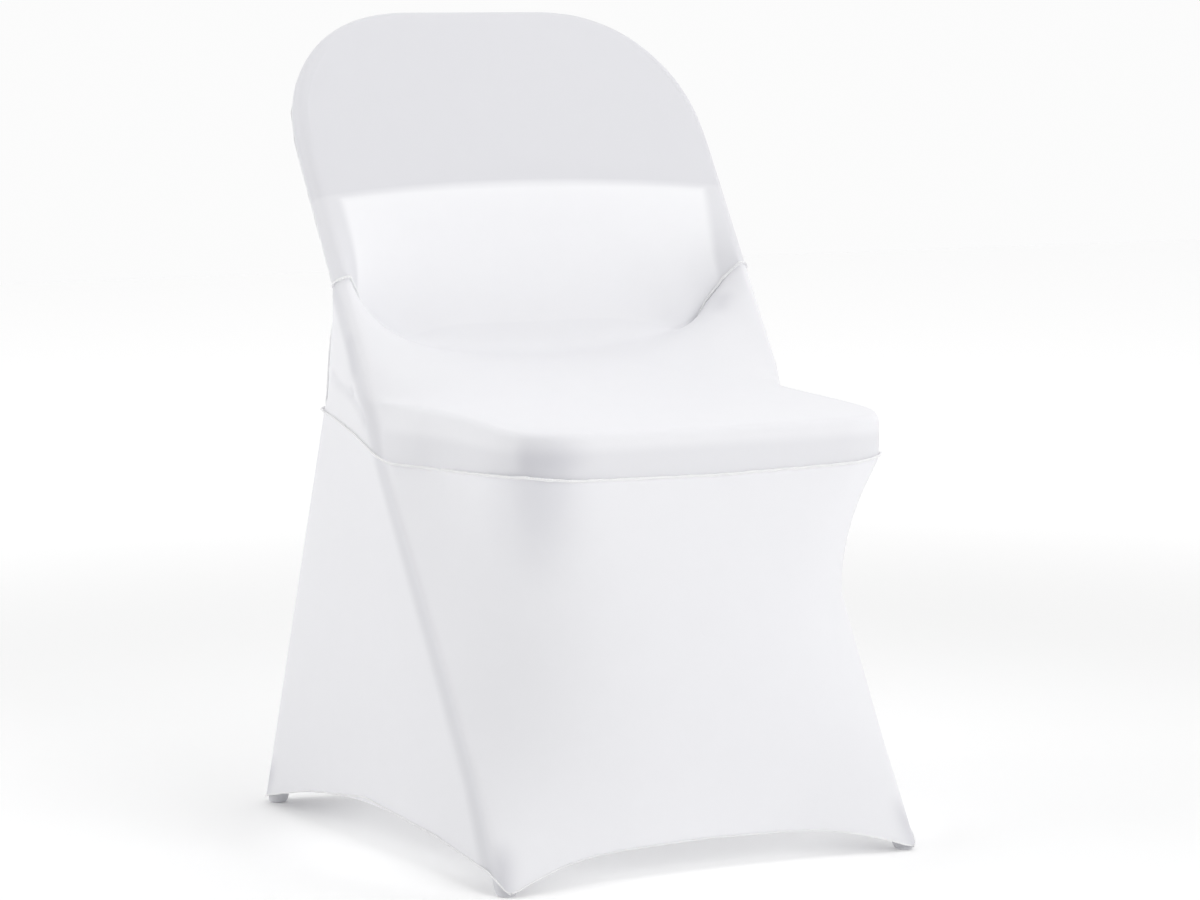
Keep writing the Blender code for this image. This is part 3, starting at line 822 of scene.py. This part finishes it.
def corner_normals(points: Array, cells: Array) -> Array:
    """Each point's normal: the sum of the facings of its cells, at length one."""
    total = np.zeros((len(points), 3))
    for corner in range(4):
        np.add.at(total, cells[:, corner], facings(points, cells))
    return unit(total)


def linked(name: str, data: bpy.types.ID) -> bpy.types.Object:
    """A new object of a mesh, light or camera, in the scene."""
    piece = bpy.data.objects.new(name, data)
    bpy.context.scene.collection.objects.link(piece)
    return piece


def read(items: bpy.types.bpy_prop_collection, name: str, kind: type, width: int = 1) -> Array:
    """One property of all items of a mesh, in one flat array."""
    values = np.empty(len(items) * width, kind)
    items.foreach_get(name, values)
    return values


@dataclass
class SewnCloth:
    """Panels that are joined along their seams, rounded as one run of cloth and cut apart again.

    A seam stays a sharp line in the rounding, as hard as its hardness says, from 0 to 1.
    """

    panels: list[Panel]
    creases: tuple[Crease, ...] = ()
    levels: int = 3
    hard_x: tuple[float, float] = (0.135, 0.185)
    lit_x: tuple[float, float] = (0.165, 0.185)
    fold_z: float = 0.46
    fold_reach: float = 0.06
    fold_rear_y: float = 0.167
    merge_gap: float = 2e-5

    def joined(self) -> tuple[Array, Array, Array, Array]:
        """The panels' patches, joined along their shared lines, with the other half added.

        Returns:
            The points, the cells, each cell corner's place on the cut cloth, and each cell's
            panel by number.
        """
        points, cells, cuts, owners, offset = [], [], [], [], 0
        for number, panel in enumerate(self.panels):
            for patch in panel.patches():
                quads = patch.quads()
                points.append(patch.points.reshape(-1, 3))
                cells.append(quads + offset)
                cuts.append(patch.cut().reshape(-1, 2)[quads])
                owners.append(np.full(len(quads), number))
                offset += len(points[-1])
        place, quads, cut = np.concatenate(points), np.concatenate(cells), np.concatenate(cuts)
        owner = np.concatenate(owners)
        if self.panels[0].mirrored:
            quads = np.concatenate([quads, quads[:, ::-1] + offset])
            cut = np.concatenate([cut, (cut * np.array([-1.0, 1.0]))[:, ::-1]])
            place = np.concatenate([place, place * MIRROR])
            owner = np.concatenate([owner, owner])
        keys = np.round(place / self.merge_gap).astype(np.int64)
        _, first, same = np.unique(keys, axis=0, return_index=True, return_inverse=True)
        cells_joined = same.reshape(-1)[quads]
        whole = np.all(cells_joined != np.roll(cells_joined, 1, axis=1), axis=1)
        return place[first], cells_joined[whole], cut[whole], owner[whole]

    def hardness(self, middles: Array, low: Array, high: Array) -> Array:
        """How hard a seam is at each edge.

        The seam of back and seat is soft in the middle, and hardens towards the side tubes.

        Args:
            middles: The edges' middles.
            low: The lower number of the two panels that meet at each edge.
            high: The higher one.

        Returns:
            The hardness, 0 to 1.
        """
        hard = (low != high).astype(float)
        fold = (low == 0) & (high == 1)
        return np.where(fold, hard * smoothstep(*self.hard_x, np.abs(middles[:, 0])), hard)

    def rounded(self) -> tuple[Array, Array, Array, Array]:
        """The joined panels, subdivided.

        Returns:
            The same as joined gives, of the fine mesh.
        """
        place, quads, cut, owner = self.joined()
        mesh = bpy.data.meshes.new("sewn")
        mesh.from_pydata(place, [], quads)
        mesh.uv_layers.new(name="cut").data.foreach_set("uv", cut.reshape(-1))
        mesh.attributes.new("panel", "INT", "FACE").data.foreach_set("value", owner.astype(np.int32))
        edges = read(mesh.loops, "edge_index", np.int32)
        ends = read(mesh.edges, "vertices", np.int32, 2)
        low, high = np.full(len(mesh.edges), len(self.panels)), np.full(len(mesh.edges), -1)
        np.minimum.at(low, edges, np.repeat(owner, 4))
        np.maximum.at(high, edges, np.repeat(owner, 4))
        hard = self.hardness(place[ends.reshape(-1, 2)].mean(axis=1), low, high)
        mesh.attributes.new("crease_edge", "FLOAT", "EDGE").data.foreach_set("value", hard.astype(np.float32))
        piece = linked("sewn", mesh)
        divide = piece.modifiers.new("fine", "SUBSURF")
        divide.levels = divide.render_levels = self.levels
        evaluated = piece.evaluated_get(bpy.context.evaluated_depsgraph_get())
        fine = bpy.data.meshes.new_from_object(evaluated)
        bpy.data.objects.remove(piece)
        spots = read(fine.vertices, "co", np.float32, 3)
        cells = read(fine.loops, "vertex_index", np.int32)
        cuts = read(fine.uv_layers["cut"].data, "uv", np.float32, 2)
        owners = read(fine.attributes["panel"].data, "value", np.int32)
        bpy.data.meshes.remove(fine)
        return spots.reshape(-1, 3).astype(float), cells.reshape(-1, 4), cuts.reshape(-1, 4, 2), owners

    def build(self) -> dict[str, bpy.types.Object]:
        """Makes the panels: rounds them together, creases them, and cuts them apart.

        Returns:
            The finished pieces by node.
        """
        points, cells, cuts, owners = self.rounded()
        normals = corner_normals(points, cells)
        inward, shade = np.zeros(len(points)), np.zeros(len(points))
        for crease in self.creases:
            strength = crease.strength(points)
            inward = inward + crease.depth * strength
            # Painted shade: the darkest crease shade at each point.
            shade = np.maximum(shade, crease.shade * strength)
        points = points - inward[:, None] * normals
        normals = corner_normals(points, cells)
        made = {}
        for number, panel in enumerate(self.panels):
            mine = owners == number
            made[panel.node] = self._cut_out(panel, points, cells[mine], cuts[mine], normals, shade)
        return made

    def _cut_out(
        self, panel: Panel, points: Array, cells: Array, cuts: Array, joint_normals: Array, shade: Array
    ) -> bpy.types.Object:
        """Makes one panel's piece, with its inner side and the rims between the two.

        Where the back flows softly into the seat, both panels are lit by the joined cloth's
        normals, and elsewhere by their own.

        Args:
            panel: The panel.
            points: The joined cloth's points.
            cells: The panel's cells.
            cuts: Their corners' places on the cut cloth.
            joint_normals: The joined cloth's normals.
            shade: How much painted shade each point gets from the creases.

        Returns:
            The piece.
        """
        used, local = np.unique(cells, return_inverse=True)
        outer, place = local.reshape(-1, 4), points[used]
        own = corner_normals(place, outer)
        soft = 1 - smoothstep(*self.lit_x, np.abs(place[:, 0]))
        soft = soft * (np.abs(place[:, 2] - self.fold_z) < self.fold_reach)
        soft = soft * (place[:, 1] < self.fold_rear_y)
        normals = unit(own + soft[:, None] * (joint_normals[used] - own))
        count = len(place)
        pairs = np.stack([outer, np.roll(outer, -1, axis=1)], axis=-1).reshape(-1, 2)
        ordered = np.sort(pairs, axis=1)
        _, index, times = np.unique(ordered, axis=0, return_index=True, return_counts=True)
        open_edges = pairs[index[times == 1]]
        rim = np.concatenate([open_edges[:, ::-1], open_edges + count], axis=1)
        faces = np.concatenate([outer, outer[:, ::-1] + count, rim])
        both = np.concatenate([place, place - panel.thickness * normals])
        mesh = bpy.data.meshes.new(panel.node + "_cloth")
        mesh.from_pydata(both - FRAME_ORIGIN, [], faces)
        uv = np.concatenate([cuts, cuts[:, ::-1], np.zeros((len(rim), 4, 2))])
        mesh.uv_layers.new(name="cut").data.foreach_set("uv", uv.reshape(-1))
        # Painted shade over the chair and in the creases, kept for the material.
        for name, values in (("chair_shade_share", panel.chair_shade_share(place)), ("crease", shade[used])):
            layer = mesh.attributes.new(name, "FLOAT", "POINT")
            layer.data.foreach_set("value", np.tile(values, 2).astype(np.float32))
        mesh.shade_smooth()
        rim_lit = np.repeat(unit(facings(both, rim))[:, None], 4, axis=1)
        lit = np.concatenate([normals[outer], -normals[outer[:, ::-1]], rim_lit])
        mesh.normals_split_custom_set(lit.reshape(-1, 3))
        mesh.materials.append(panel.finish.dress())
        piece = linked(panel.node + "_cloth", mesh)
        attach(piece, "root")
        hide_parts(panel.node)
        log.info("%s: %d faces", piece.name, len(faces))
        return piece


@dataclass
class BackFront(Panel):
    """The front of the back sleeve, rolled over the back frame."""

    rail_share: float = 0.8
    seat_share: float = 0.34
    seat_ramp: tuple[float, float] = (0.447, 0.570)

    def patches(self) -> list[Patch]:
        """The lower back, the plate's part and the strip round the frame."""
        _, low, plate = self.form.back_and_seat()
        strip = self.form.edge_strip()
        return [Patch(low, Facing.FRONT), Patch(plate, Facing.FRONT), Patch(strip, Facing.OVER)]

    def chair_shade_share(self, points: Array) -> Array:
        """Painted shade where the plate and the tubes lie behind it, and near the fold over the seat's rear
        edge.
        """
        seat = self.seat_share * (1 - smoothstep(*self.seat_ramp, points[:, 2]))
        rail = self.rail_share * self.form.rail_mask(points)
        frame_near = np.maximum(self.form.plate_mask(points), rail)
        return np.maximum(frame_near, seat)


@dataclass
class SeatPanel(Panel):
    """The seat's top, turned down over the edge to the overlocked seam.

    Painted shade where the chair's seat lies behind it, by the edge's share, below a level that rises to the
    rear.
    """

    edge_share: float = 0.5
    edge_ramp: tuple[float, float] = (0.392, 0.404)
    edge_rise: float = 0.03
    edge_run: float = 0.16
    rear_ramp: tuple[float, float] = (-0.02, 0.05)

    def patches(self) -> list[Patch]:
        """The top and the edge strip."""
        top, _, _ = self.form.back_and_seat()
        return [Patch(top, Facing.TOP), Patch(self.form.seat_strip(), Facing.CORNER)]

    def chair_shade_share(self, points: Array) -> Array:
        """Painted shade where the seat's edge lies behind it, and along the tubes' flanks away from the
        light.
        """
        level = points[:, 2] - self.edge_rise * smoothstep(0.0, self.edge_run, points[:, 1])
        edge = 1 - smoothstep(*self.edge_ramp, level)
        front = 1 - smoothstep(*self.rear_ramp, points[:, 1])
        return np.maximum(self.edge_share * edge * front, self.form.flank_shade_mask(points))


@dataclass
class SkirtPanel(Panel):
    """The skirt round the front and both sides."""

    margin: float = 0.004
    rows: int = 12
    pull_across: float = 0.45
    wrap_top: float = 25.0
    wrap_foot: float = 80.0

    def with_seam_row(self, sheet: Array) -> Array:
        """The sheet with a row added just below its first, where the seam's stiff edge ends."""
        added = sheet[0] + self.margin * unit(sheet[1] - sheet[0])
        return np.concatenate([sheet[:1], added[None], sheet[1:]])

    def leg_line(self, z: Array, degrees: Array) -> Array:
        """Where the cloth lies on the front leg, turned forward from its outer side.

        Args:
            z: The heights.
            degrees: How far round the leg the line lies at each height.

        Returns:
            The line's points.
        """
        rows = np.array(self.form.leg)
        x, y = np.interp(z, rows[:, 0], rows[:, 1]), np.interp(z, rows[:, 0], rows[:, 2])
        angle, radius = np.radians(degrees), self.form.leg_radius
        forward = radius / math.cos(self.form.lean)
        return np.stack([x + radius * np.cos(angle), y - forward * np.sin(angle), z], axis=-1)

    def patches(self) -> list[Patch]:
        """The side, the leg's wrap and the front between the legs."""
        form, lines = self.form, self.form.lines()
        rear, leg_side, leg_front = (form.start(name) for name in ("rear seam", "leg side", "leg front"))
        seam, hem = lines["seam"], lines["hem"]
        fall = np.linspace(0, 1, self.rows + 1)
        side = between(seam[rear : leg_side + 1], hem[rear : leg_side + 1], fall)
        wraps = []
        for index in range(leg_side, leg_front + 1):
            share = (index - leg_side) / (leg_front - leg_side)
            z = seam[index, 2] + fall * (hem[index, 2] - seam[index, 2])
            line = self.leg_line(z, share * ((1 - fall) * self.wrap_top + fall * self.wrap_foot))
            line[0], line[-1] = seam[index], hem[index]
            wraps.append(line)
        leg = np.stack(wraps, axis=1)
        side[:, -1] = leg[:, 0]
        top, bottom = seam[leg_front:][::-1], hem[leg_front:][::-1]
        front = self.with_seam_row(span(top, bottom, leg[:, -1]))
        side, leg = self.with_seam_row(side), self.with_seam_row(leg)
        share = np.linspace(1.0, 0.0, front.shape[1])[:, None]
        front[1] = top - share * self.margin * UP + (1 - share) * (leg[1, -1] - leg[0, -1])
        front = pulled(front, free(front, 2), self.pull_across)
        return [Patch(side, Facing.SIDE), Patch(leg, Facing.CORNER), Patch(front, Facing.FRONT)]

    def chair_shade_share(self, points: Array) -> Array:
        """Painted shade along the front legs' flanks away from the light."""
        return self.form.flank_shade_mask(points)


@dataclass
class RearPanel(Panel):
    """The rear panel, from the hem over the seat's rear edge to the top of the back."""

    margin: float = 0.004
    seat_y: float = 0.171
    seat_slope: float = 0.002
    seat_high_z: float = 0.455
    seat_low_z: float = 0.408
    rows: int = 12
    rail_share: float = 0.8
    seat_share: float = 0.4
    seat_rise: tuple[float, float] = (0.385, 0.417)
    seat_fall: tuple[float, float] = (0.438, 0.470)
    hem: tuple[tuple[float, float, float, int], ...] = (
        (0.2262, 0.2676, 0.0050, 2),
        (0.1850, 0.2610, 0.0180, 3),
        (0.1100, 0.2530, 0.0280, 5),
        (0.0000, 0.2490, 0.0310, 0),
    )

    def _crossing(self, side: Array, middle: Array) -> Array:
        """A line from the middle out that bows back as a parabola to a side point."""
        across = np.linspace(0.0, 1.0, sum(row[3] for row in self.hem) + 1)[:, None]
        bow = 1 - across**2
        line = bow * middle + (1 - bow) * side
        line[:, 0] = across[:, 0] * side[0]
        return line

    def patches(self) -> list[Patch]:
        """The part below the seat, the seat's edge, the part hung to the plate, and the plate's."""
        form, lines = self.form, self.form.lines()
        seam, hem = lines["seam"], lines["hem"]
        corner, low_row = form.start("seat rear corner"), form.start("rear seam")
        bottom = through([row[:3] for row in self.hem], [row[3] for row in self.hem[:-1]])[::-1]
        low_y = self.seat_y + self.seat_slope
        seat_low = self._crossing(seam[low_row], np.array([0.0, low_y, self.seat_low_z]))
        seat_high = self._crossing(seam[corner], np.array([0.0, self.seat_y, self.seat_high_z]))
        drop = np.linalg.norm(hem[low_row] - seam[low_row])
        up = np.linspace(0, 1, self.rows + 1)
        up = np.concatenate([up[:-1], [1 - self.margin / drop], up[-1:]])
        side = between(hem[low_row : low_row + 1], seam[low_row : low_row + 1], up)[:, 0]
        lower = span(bottom, seat_low, side, up)
        lower = pulled(lower, free(lower))
        seat_edge = span(seat_low, seat_high, seam[corner : low_row + 1][::-1])
        strip = form.edge_strip()[-1]
        upper = form.plate(strip, -1)
        side = np.concatenate([seam[: corner + 1][::-1], strip[1 : form.lower_rows + 1]])
        hanging = span(seat_high, upper[0], side)
        hanging = pulled(hanging, free(hanging))
        return [Patch(one, Facing.REAR) for one in (lower, seat_edge, hanging, upper)]

    def chair_shade_share(self, points: Array) -> Array:
        """Painted shade where the plate, the tubes and the seat's rear edge lie behind it."""
        z = points[:, 2]
        seat = smoothstep(*self.seat_rise, z) * (1 - smoothstep(*self.seat_fall, z))
        rail = self.rail_share * self.form.rail_mask(points)
        frame_near = np.maximum(self.form.plate_mask(points), rail)
        return np.maximum(frame_near, self.seat_share * seat)


@dataclass
class FootPocket(Panel):
    """A doubled pocket that holds one foot."""

    foot: tuple[float, float] = (0.0, 0.0)
    lean_xy: tuple[float, float] = (0.0, 0.0)
    radius: float = 0.0102
    rings: tuple[tuple[float, float], ...] = (
        (0.016, 1.0), (0.009, 1.0), (0.004, 0.98), (0.0012, 0.90), (0.0, 0.78), (0.0, 0.39)
    )
    corners: int = 16

    def patches(self) -> list[Patch]:
        """Rings up the leg from a flat sole: a circle, smaller towards the floor."""
        z, size = np.array(self.rings).T[:, :, None]
        angles = np.linspace(0.0, 2 * math.pi, self.corners + 1)[None]
        x = self.foot[0] + self.lean_xy[0] * z + self.radius * size * np.cos(angles)
        y = self.foot[1] + self.lean_xy[1] * z + self.radius * size * np.sin(angles)
        rows = np.stack([x, y, z + 0 * angles], axis=-1)
        middle = np.tile([self.foot[0], self.foot[1], 0.0], (1, rows.shape[1], 1))
        return [Patch(np.concatenate([rows, middle]), Facing.UNDER)]

    def chair_shade_share(self, points: Array) -> Array:
        """Painted shade all over, where the foot fills it."""
        return np.ones(len(points))


@dataclass
class SeamThread:
    """An overlock bead along a seam: a round cord that swells, sinks and wanders a little."""

    name: str
    slot: str
    path: Array
    outward: Array
    radius: float = 0.0013
    proud: float = 0.0010
    wander: float = 0.0003
    seed: int = 1
    sides: int = 8
    step: float = 0.0016
    waves: tuple[tuple[float, float], ...] = ((190, 1.0), (410, 0.7), (83, 0.5))
    swells: tuple[tuple[float, float], ...] = ((620, 0.10), (271, 0.08))
    taper: float = 0.006
    end_share: float = 0.35

    def _course(self) -> tuple[Array, Array, Array, Array]:
        """The path at even steps.

        Returns:
            How far along each point lies, the points, and the ways outward and aside there.
        """
        gaps = np.linalg.norm(np.diff(self.path, axis=0), axis=1)
        run = np.concatenate([[0.0], np.cumsum(gaps)])
        at = np.linspace(0.0, run[-1], int(run[-1] / self.step))
        path, out = (
            np.stack([np.interp(at, run, values[:, k]) for k in range(3)], axis=1)
            for values in (self.path, self.outward)
        )
        along = unit(np.gradient(path, axis=0))
        out = unit(out - (out * along).sum(axis=1)[:, None] * along)
        return at, path, out, np.cross(along, out)

    def _cells(self, count: int) -> list[list[int]]:
        """The cells of a tube of so many rings, with a fan to the tip at each end."""
        row = np.arange(count - 1)[:, None] * self.sides
        here, after = np.arange(self.sides), (np.arange(self.sides) + 1) % self.sides
        corners = [row + here, row + after, row + after + self.sides, row + here + self.sides]
        cells = np.stack(corners, axis=-1).reshape(-1, 4).tolist()
        last, tip = (count - 1) * self.sides, count * self.sides
        cells += [[int(b), int(a), tip] for a, b in zip(here, after)]
        return cells + [[int(last + a), int(last + b), tip + 1] for a, b in zip(here, after)]

    def build(self, material: bpy.types.Material) -> bpy.types.Object:
        """Sweeps a circle along the path.

        The circle's middle lies on the path, moved outwards by how proud the bead stands, and
        sideways by a sum of waves. Its radius is the bead's times one and a smaller sum of waves.

        Args:
            material: The thread's material.

        Returns:
            The finished piece.
        """
        rng = np.random.default_rng(self.seed)
        at, path, out, aside = self._course()
        phases = rng.uniform(0, 2 * math.pi, 6)
        waved = [
            share * np.sin(at * rate + phase)
            for (rate, share), phase in zip(self.waves + self.swells, phases)
        ]
        slow = sum(waved[: len(self.waves)])
        swell = 1 + sum(waved[len(self.waves) :])
        ends = np.minimum(1.0, np.minimum(at, at[-1] - at) / self.taper)
        radius = self.radius * swell * (self.end_share + (1 - self.end_share) * ends)
        middle = path + self.proud * out + (self.wander * slow / 2)[:, None] * aside
        turn = np.linspace(0, 2 * math.pi, self.sides + 1)[:-1]
        ring = np.cos(turn)[None, :, None] * out[:, None] + np.sin(turn)[None, :, None] * aside[:, None]
        points = (middle[:, None] + radius[:, None, None] * ring).reshape(-1, 3)
        points = np.concatenate([points, middle[:1], middle[-1:]])
        mesh = bpy.data.meshes.new(self.name)
        mesh.from_pydata(points - FRAME_ORIGIN, [], self._cells(len(at)))
        round_share = np.concatenate([np.tile(turn / (2 * math.pi), len(at)), [0.0, 0.0]])
        length = np.concatenate([np.repeat(at, self.sides), [0.0, at[-1]]])
        corner = read(mesh.loops, "vertex_index", np.int32)
        uv = np.stack([round_share, length], axis=1)[corner]
        mesh.uv_layers.new(name="cut").data.foreach_set("uv", uv.reshape(-1))
        mesh.shade_smooth()
        mesh.materials.append(material)
        piece = linked(self.name, mesh)
        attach(piece, "root")
        log.info("%s: %.3f m of bead", self.name, at[-1])
        return piece


@dataclass
class Cover:
    """The whole cover: its panels and its seams."""

    form: ChairForm = field(default_factory=ChairForm)
    # Painted light: the back's knit is lighter, for light that comes through the cloth from behind.
    back_lit_colour: Colour = (0.935, 0.935, 0.955)
    # Painted shade: the pockets' knit is greyer, round the feet.
    pocket_colour: Colour = (0.78, 0.78, 0.81)
    pocket_backed: Colour = (0.72, 0.72, 0.75)
    front_foot: tuple[float, ...] = (0.2115, -0.2275, -0.0556, 0.5667)
    rear_foot: tuple[float, ...] = (0.2230, 0.2555, -0.057, -0.246)
    thin_bead: float = 0.0009

    def panels(self) -> list[Panel]:
        """The four large panels in the order in which they are sewn, with the sizes they were cut to."""
        form = self.form
        # The back's knit is a lighter copy of the knit: painted light.
        back_knit = KnitFinish("back_knit", self.back_lit_colour)
        return [
            BackFront(form, "back_front_panel", "back_cloth", back_knit, (0.40, 0.34), 0.115),
            SeatPanel(form, "seat_panel", "seat_cloth", KnitFinish("seat_knit"), (0.48, 0.45), 0.16),
            SkirtPanel(form, "skirt_panel", "skirt_cloth", KnitFinish("skirt_knit"), (1.25, 0.34), 0.36),
            RearPanel(form, "rear_panel", "rear_cloth", KnitFinish("rear_knit"), (0.38, 0.74), 0.27),
        ]

    def pockets(self) -> list[Panel]:
        """The four foot pockets."""
        # The pockets' knit is greyer: painted shade.
        knit = KnitFinish("pocket_knit", self.pocket_colour, self.pocket_backed)
        return [
            FootPocket(
                self.form, f"foot_pocket_{end}_{side}", "pocket_cloth", knit, (0.05, 0.03), 0.0012,
                mirrored=False, foot=(sign * x, y), lean_xy=(sign * lean_x, lean_y),
            )
            for end, (x, y, lean_x, lean_y) in (("front", self.front_foot), ("rear", self.rear_foot))
            for side, sign in (("left", -1), ("right", 1))
        ]

    def threads(self) -> list[tuple[str, SeamThread]]:
        """The overlock beads, each with the node of the panel that it is sewn on.

        Returns:
            Pairs of the panel's node and the bead.
        """
        form, lines = self.form, self.form.lines()
        seam, hem, rear = lines["seam"], lines["hem"], form.start("rear seam")
        out = whole(lines["out"][rear:])
        band = SeamThread("band_seam_thread", "seat_cloth", whole(seam[rear:]), out)
        around = whole(hem[rear:])
        under = SeamThread("hem_thread", "skirt_cloth", around, out, 0.0008, 0.0003, 0.0002, seed=3)
        beads = [("seat_panel", band), ("skirt_panel", under)]

        strip = form.edge_strip()
        over, last = strip[::-1, 0], strip[-1]
        rail = np.concatenate([over, form.fold_line()[::-1][1:4]])
        rail_out = rail - form.rail_middle(form.rail_seam_z)
        rail_out[len(over) :] = form.front + 0.3 * UP
        corner = np.concatenate([seam[: rear + 1], hem[rear : rear + 1]])
        behind = np.tile([0.5, 1.0, 0.0], (len(corner), 1))
        for side, flip in (("right", np.ones(3)), ("left", MIRROR)):
            bead = SeamThread(f"rail_seam_thread_{side}", "back_cloth", rail * flip, rail_out * flip, seed=5)
            beads.append(("back_front_panel", bead))
            bead = SeamThread(
                f"rear_seam_thread_{side}", "rear_cloth", corner * flip, behind * flip, self.thin_bead, seed=7
            )
            beads.append(("rear_panel", bead))
        top = whole(last)
        out = np.tile(-form.front, (len(top), 1))
        bead = SeamThread("back_seam_thread", "rear_cloth", top, out, self.thin_bead, seed=9)
        beads.append(("rear_panel", bead))
        return beads

    def build(self) -> None:
        """Makes every panel and seam."""
        panels = self.panels()
        made = SewnCloth(panels, CREASES).build()
        for pocket in self.pockets():
            made.update(SewnCloth([pocket], levels=2).build())
            panels.append(pocket)
        thread = ThreadFinish().dress()
        sewn: dict[str, list[bpy.types.Object]] = {}
        for node, bead in self.threads():
            sewn.setdefault(node, []).append(bead.build(thread))
        for panel in panels:
            panel.declare(made[panel.node], sewn.get(panel.node, []))


@dataclass
class Studio:
    """The floor, the lights and the camera."""

    azimuth: float = -28.2577
    elevation: float = 6.6423
    distance: float = 3.8695
    lens: float = 120.6075
    sensor: float = 36.0
    target: Point = (0.00493, -0.00265, 0.3685)
    lamps: tuple[tuple[str, float, float, float], ...] = (
        ("front", 15.0, 25.0, 32.0),
        ("right", 60.0, 60.0, 12.3),
        ("left", -100.0, 25.0, 19.6),
        ("left behind", -130.0, 35.0, 16.0),
        ("top", 0.0, 86.0, 20.0),
    )
    lamp_distance: float = 3.3
    lamp_size: float = 2.0
    floor_size: float = 14.0
    floor_grey: float = 0.93
    floor_glow: float = 0.42
    near_glow: float = 0.17
    far_ramp: tuple[float, float] = (1.1, 3.2)
    under_ramp: tuple[float, float] = (0.20, 0.36)
    dark_azimuth: float = -45.0
    room_bright: float = 0.97
    room_dark: float = 0.35
    room_ramp: tuple[float, float] = (-0.8, 0.2)

    def place(self, azimuth: float, elevation: float, distance: float) -> Array:
        """A point at a distance from the target, by azimuth and elevation in degrees."""
        a, e = math.radians(azimuth), math.radians(elevation)
        way = np.array([math.sin(a) * math.cos(e), -math.cos(a) * math.cos(e), math.sin(e)])
        return np.array(self.target) + distance * way

    def aim(self, name: str, data: bpy.types.ID, at: Array) -> bpy.types.Object:
        """Makes a light or camera at a place and turns it to the target."""
        piece = linked(name, data)
        way = Vector(np.array(self.target) - at)
        piece.location = Vector(at - FRAME_ORIGIN)
        piece.rotation_euler = way.to_track_quat("-Z", "Y").to_euler()
        return piece

    def camera(self) -> None:
        """Makes the camera at the photograph's angle."""
        data = bpy.data.cameras.new("camera")
        data.lens, data.sensor_width = self.lens, self.sensor
        at = self.place(self.azimuth, self.elevation, self.distance)
        bpy.context.scene.camera = self.aim("camera", data, at)

    def lights(self) -> None:
        """Makes the square soft lights: each has a name, an azimuth, an elevation and its watts."""
        for name, azimuth, elevation, power in self.lamps:
            data = bpy.data.lights.new(name, "AREA")
            data.shape, data.size, data.energy = "SQUARE", self.lamp_size, power
            self.aim(name, data, self.place(azimuth, elevation, self.lamp_distance))

    def floor(self) -> None:
        """Makes the pale floor, which glows a little, and more far off and under the cover."""
        half = self.floor_size / 2
        corners = np.array([(-half, -half, 0), (half, -half, 0), (half, half, 0), (-half, half, 0)], float)
        mesh = bpy.data.meshes.new("floor")
        mesh.from_pydata(corners - FRAME_ORIGIN, [], [(0, 1, 2, 3)])
        graph = Graph(bpy.data.materials.new("floor_paint"))
        place = graph.add("ShaderNodeTexCoord").part("Object")
        middle = tuple(-FRAME_ORIGIN)
        gap = graph.add("ShaderNodeVectorMath", {"operation": "DISTANCE"}, place, middle).part("Value")
        share = graph.ramp(gap, *self.far_ramp) + graph.ramp(gap, *self.under_ramp, 1.0, 0.0)
        near = (self.near_glow, self.near_glow, self.near_glow, 1)
        material = graph.surface(
            Base_Color=(self.floor_grey, self.floor_grey, self.floor_grey, 1), Roughness=0.75,
            Specular_IOR_Level=0.2, Emission_Color=graph.mix(share, near, (1.0, 1.0, 1.0, 1)),
            Emission_Strength=self.floor_glow,
        )
        mesh.materials.append(material)
        floor = linked("floor", mesh)

    def room(self) -> None:
        """Lights the room with a white glow that is weaker towards the front left.

        Its strength is a smooth ramp of how far a direction turns towards the dark azimuth.
        """
        world = bpy.data.worlds.new("room")
        bpy.context.scene.world = world
        graph = Graph(world)
        turn = math.radians(self.dark_azimuth)
        dark = (math.sin(turn), -math.cos(turn), 0.0)
        place = graph.add("ShaderNodeTexCoord").part("Generated")
        facing = graph.add("ShaderNodeVectorMath", {"operation": "DOT_PRODUCT"}, place, dark).part("Value")
        strength = graph.ramp(facing, *self.room_ramp, self.room_bright, self.room_dark)
        glow = graph.add("ShaderNodeBackground", None, Color=(1.0, 1.0, 1.0, 1.0), Strength=strength)
        graph.add("ShaderNodeOutputWorld", None, Surface=glow)

    def build(self) -> None:
        """Makes the whole studio."""
        self.floor()
        self.room()
        self.camera()
        self.lights()
        bpy.context.scene.view_settings.view_transform = "Standard"
        bpy.context.scene.view_settings.look = "None"


def main() -> None:
    """Builds the cover and the studio."""
    logging.basicConfig(level=logging.INFO, format="%(name)s: %(message)s")
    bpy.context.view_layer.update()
    Cover().build()
    Studio().build()


if __name__ == "__main__":
    main()
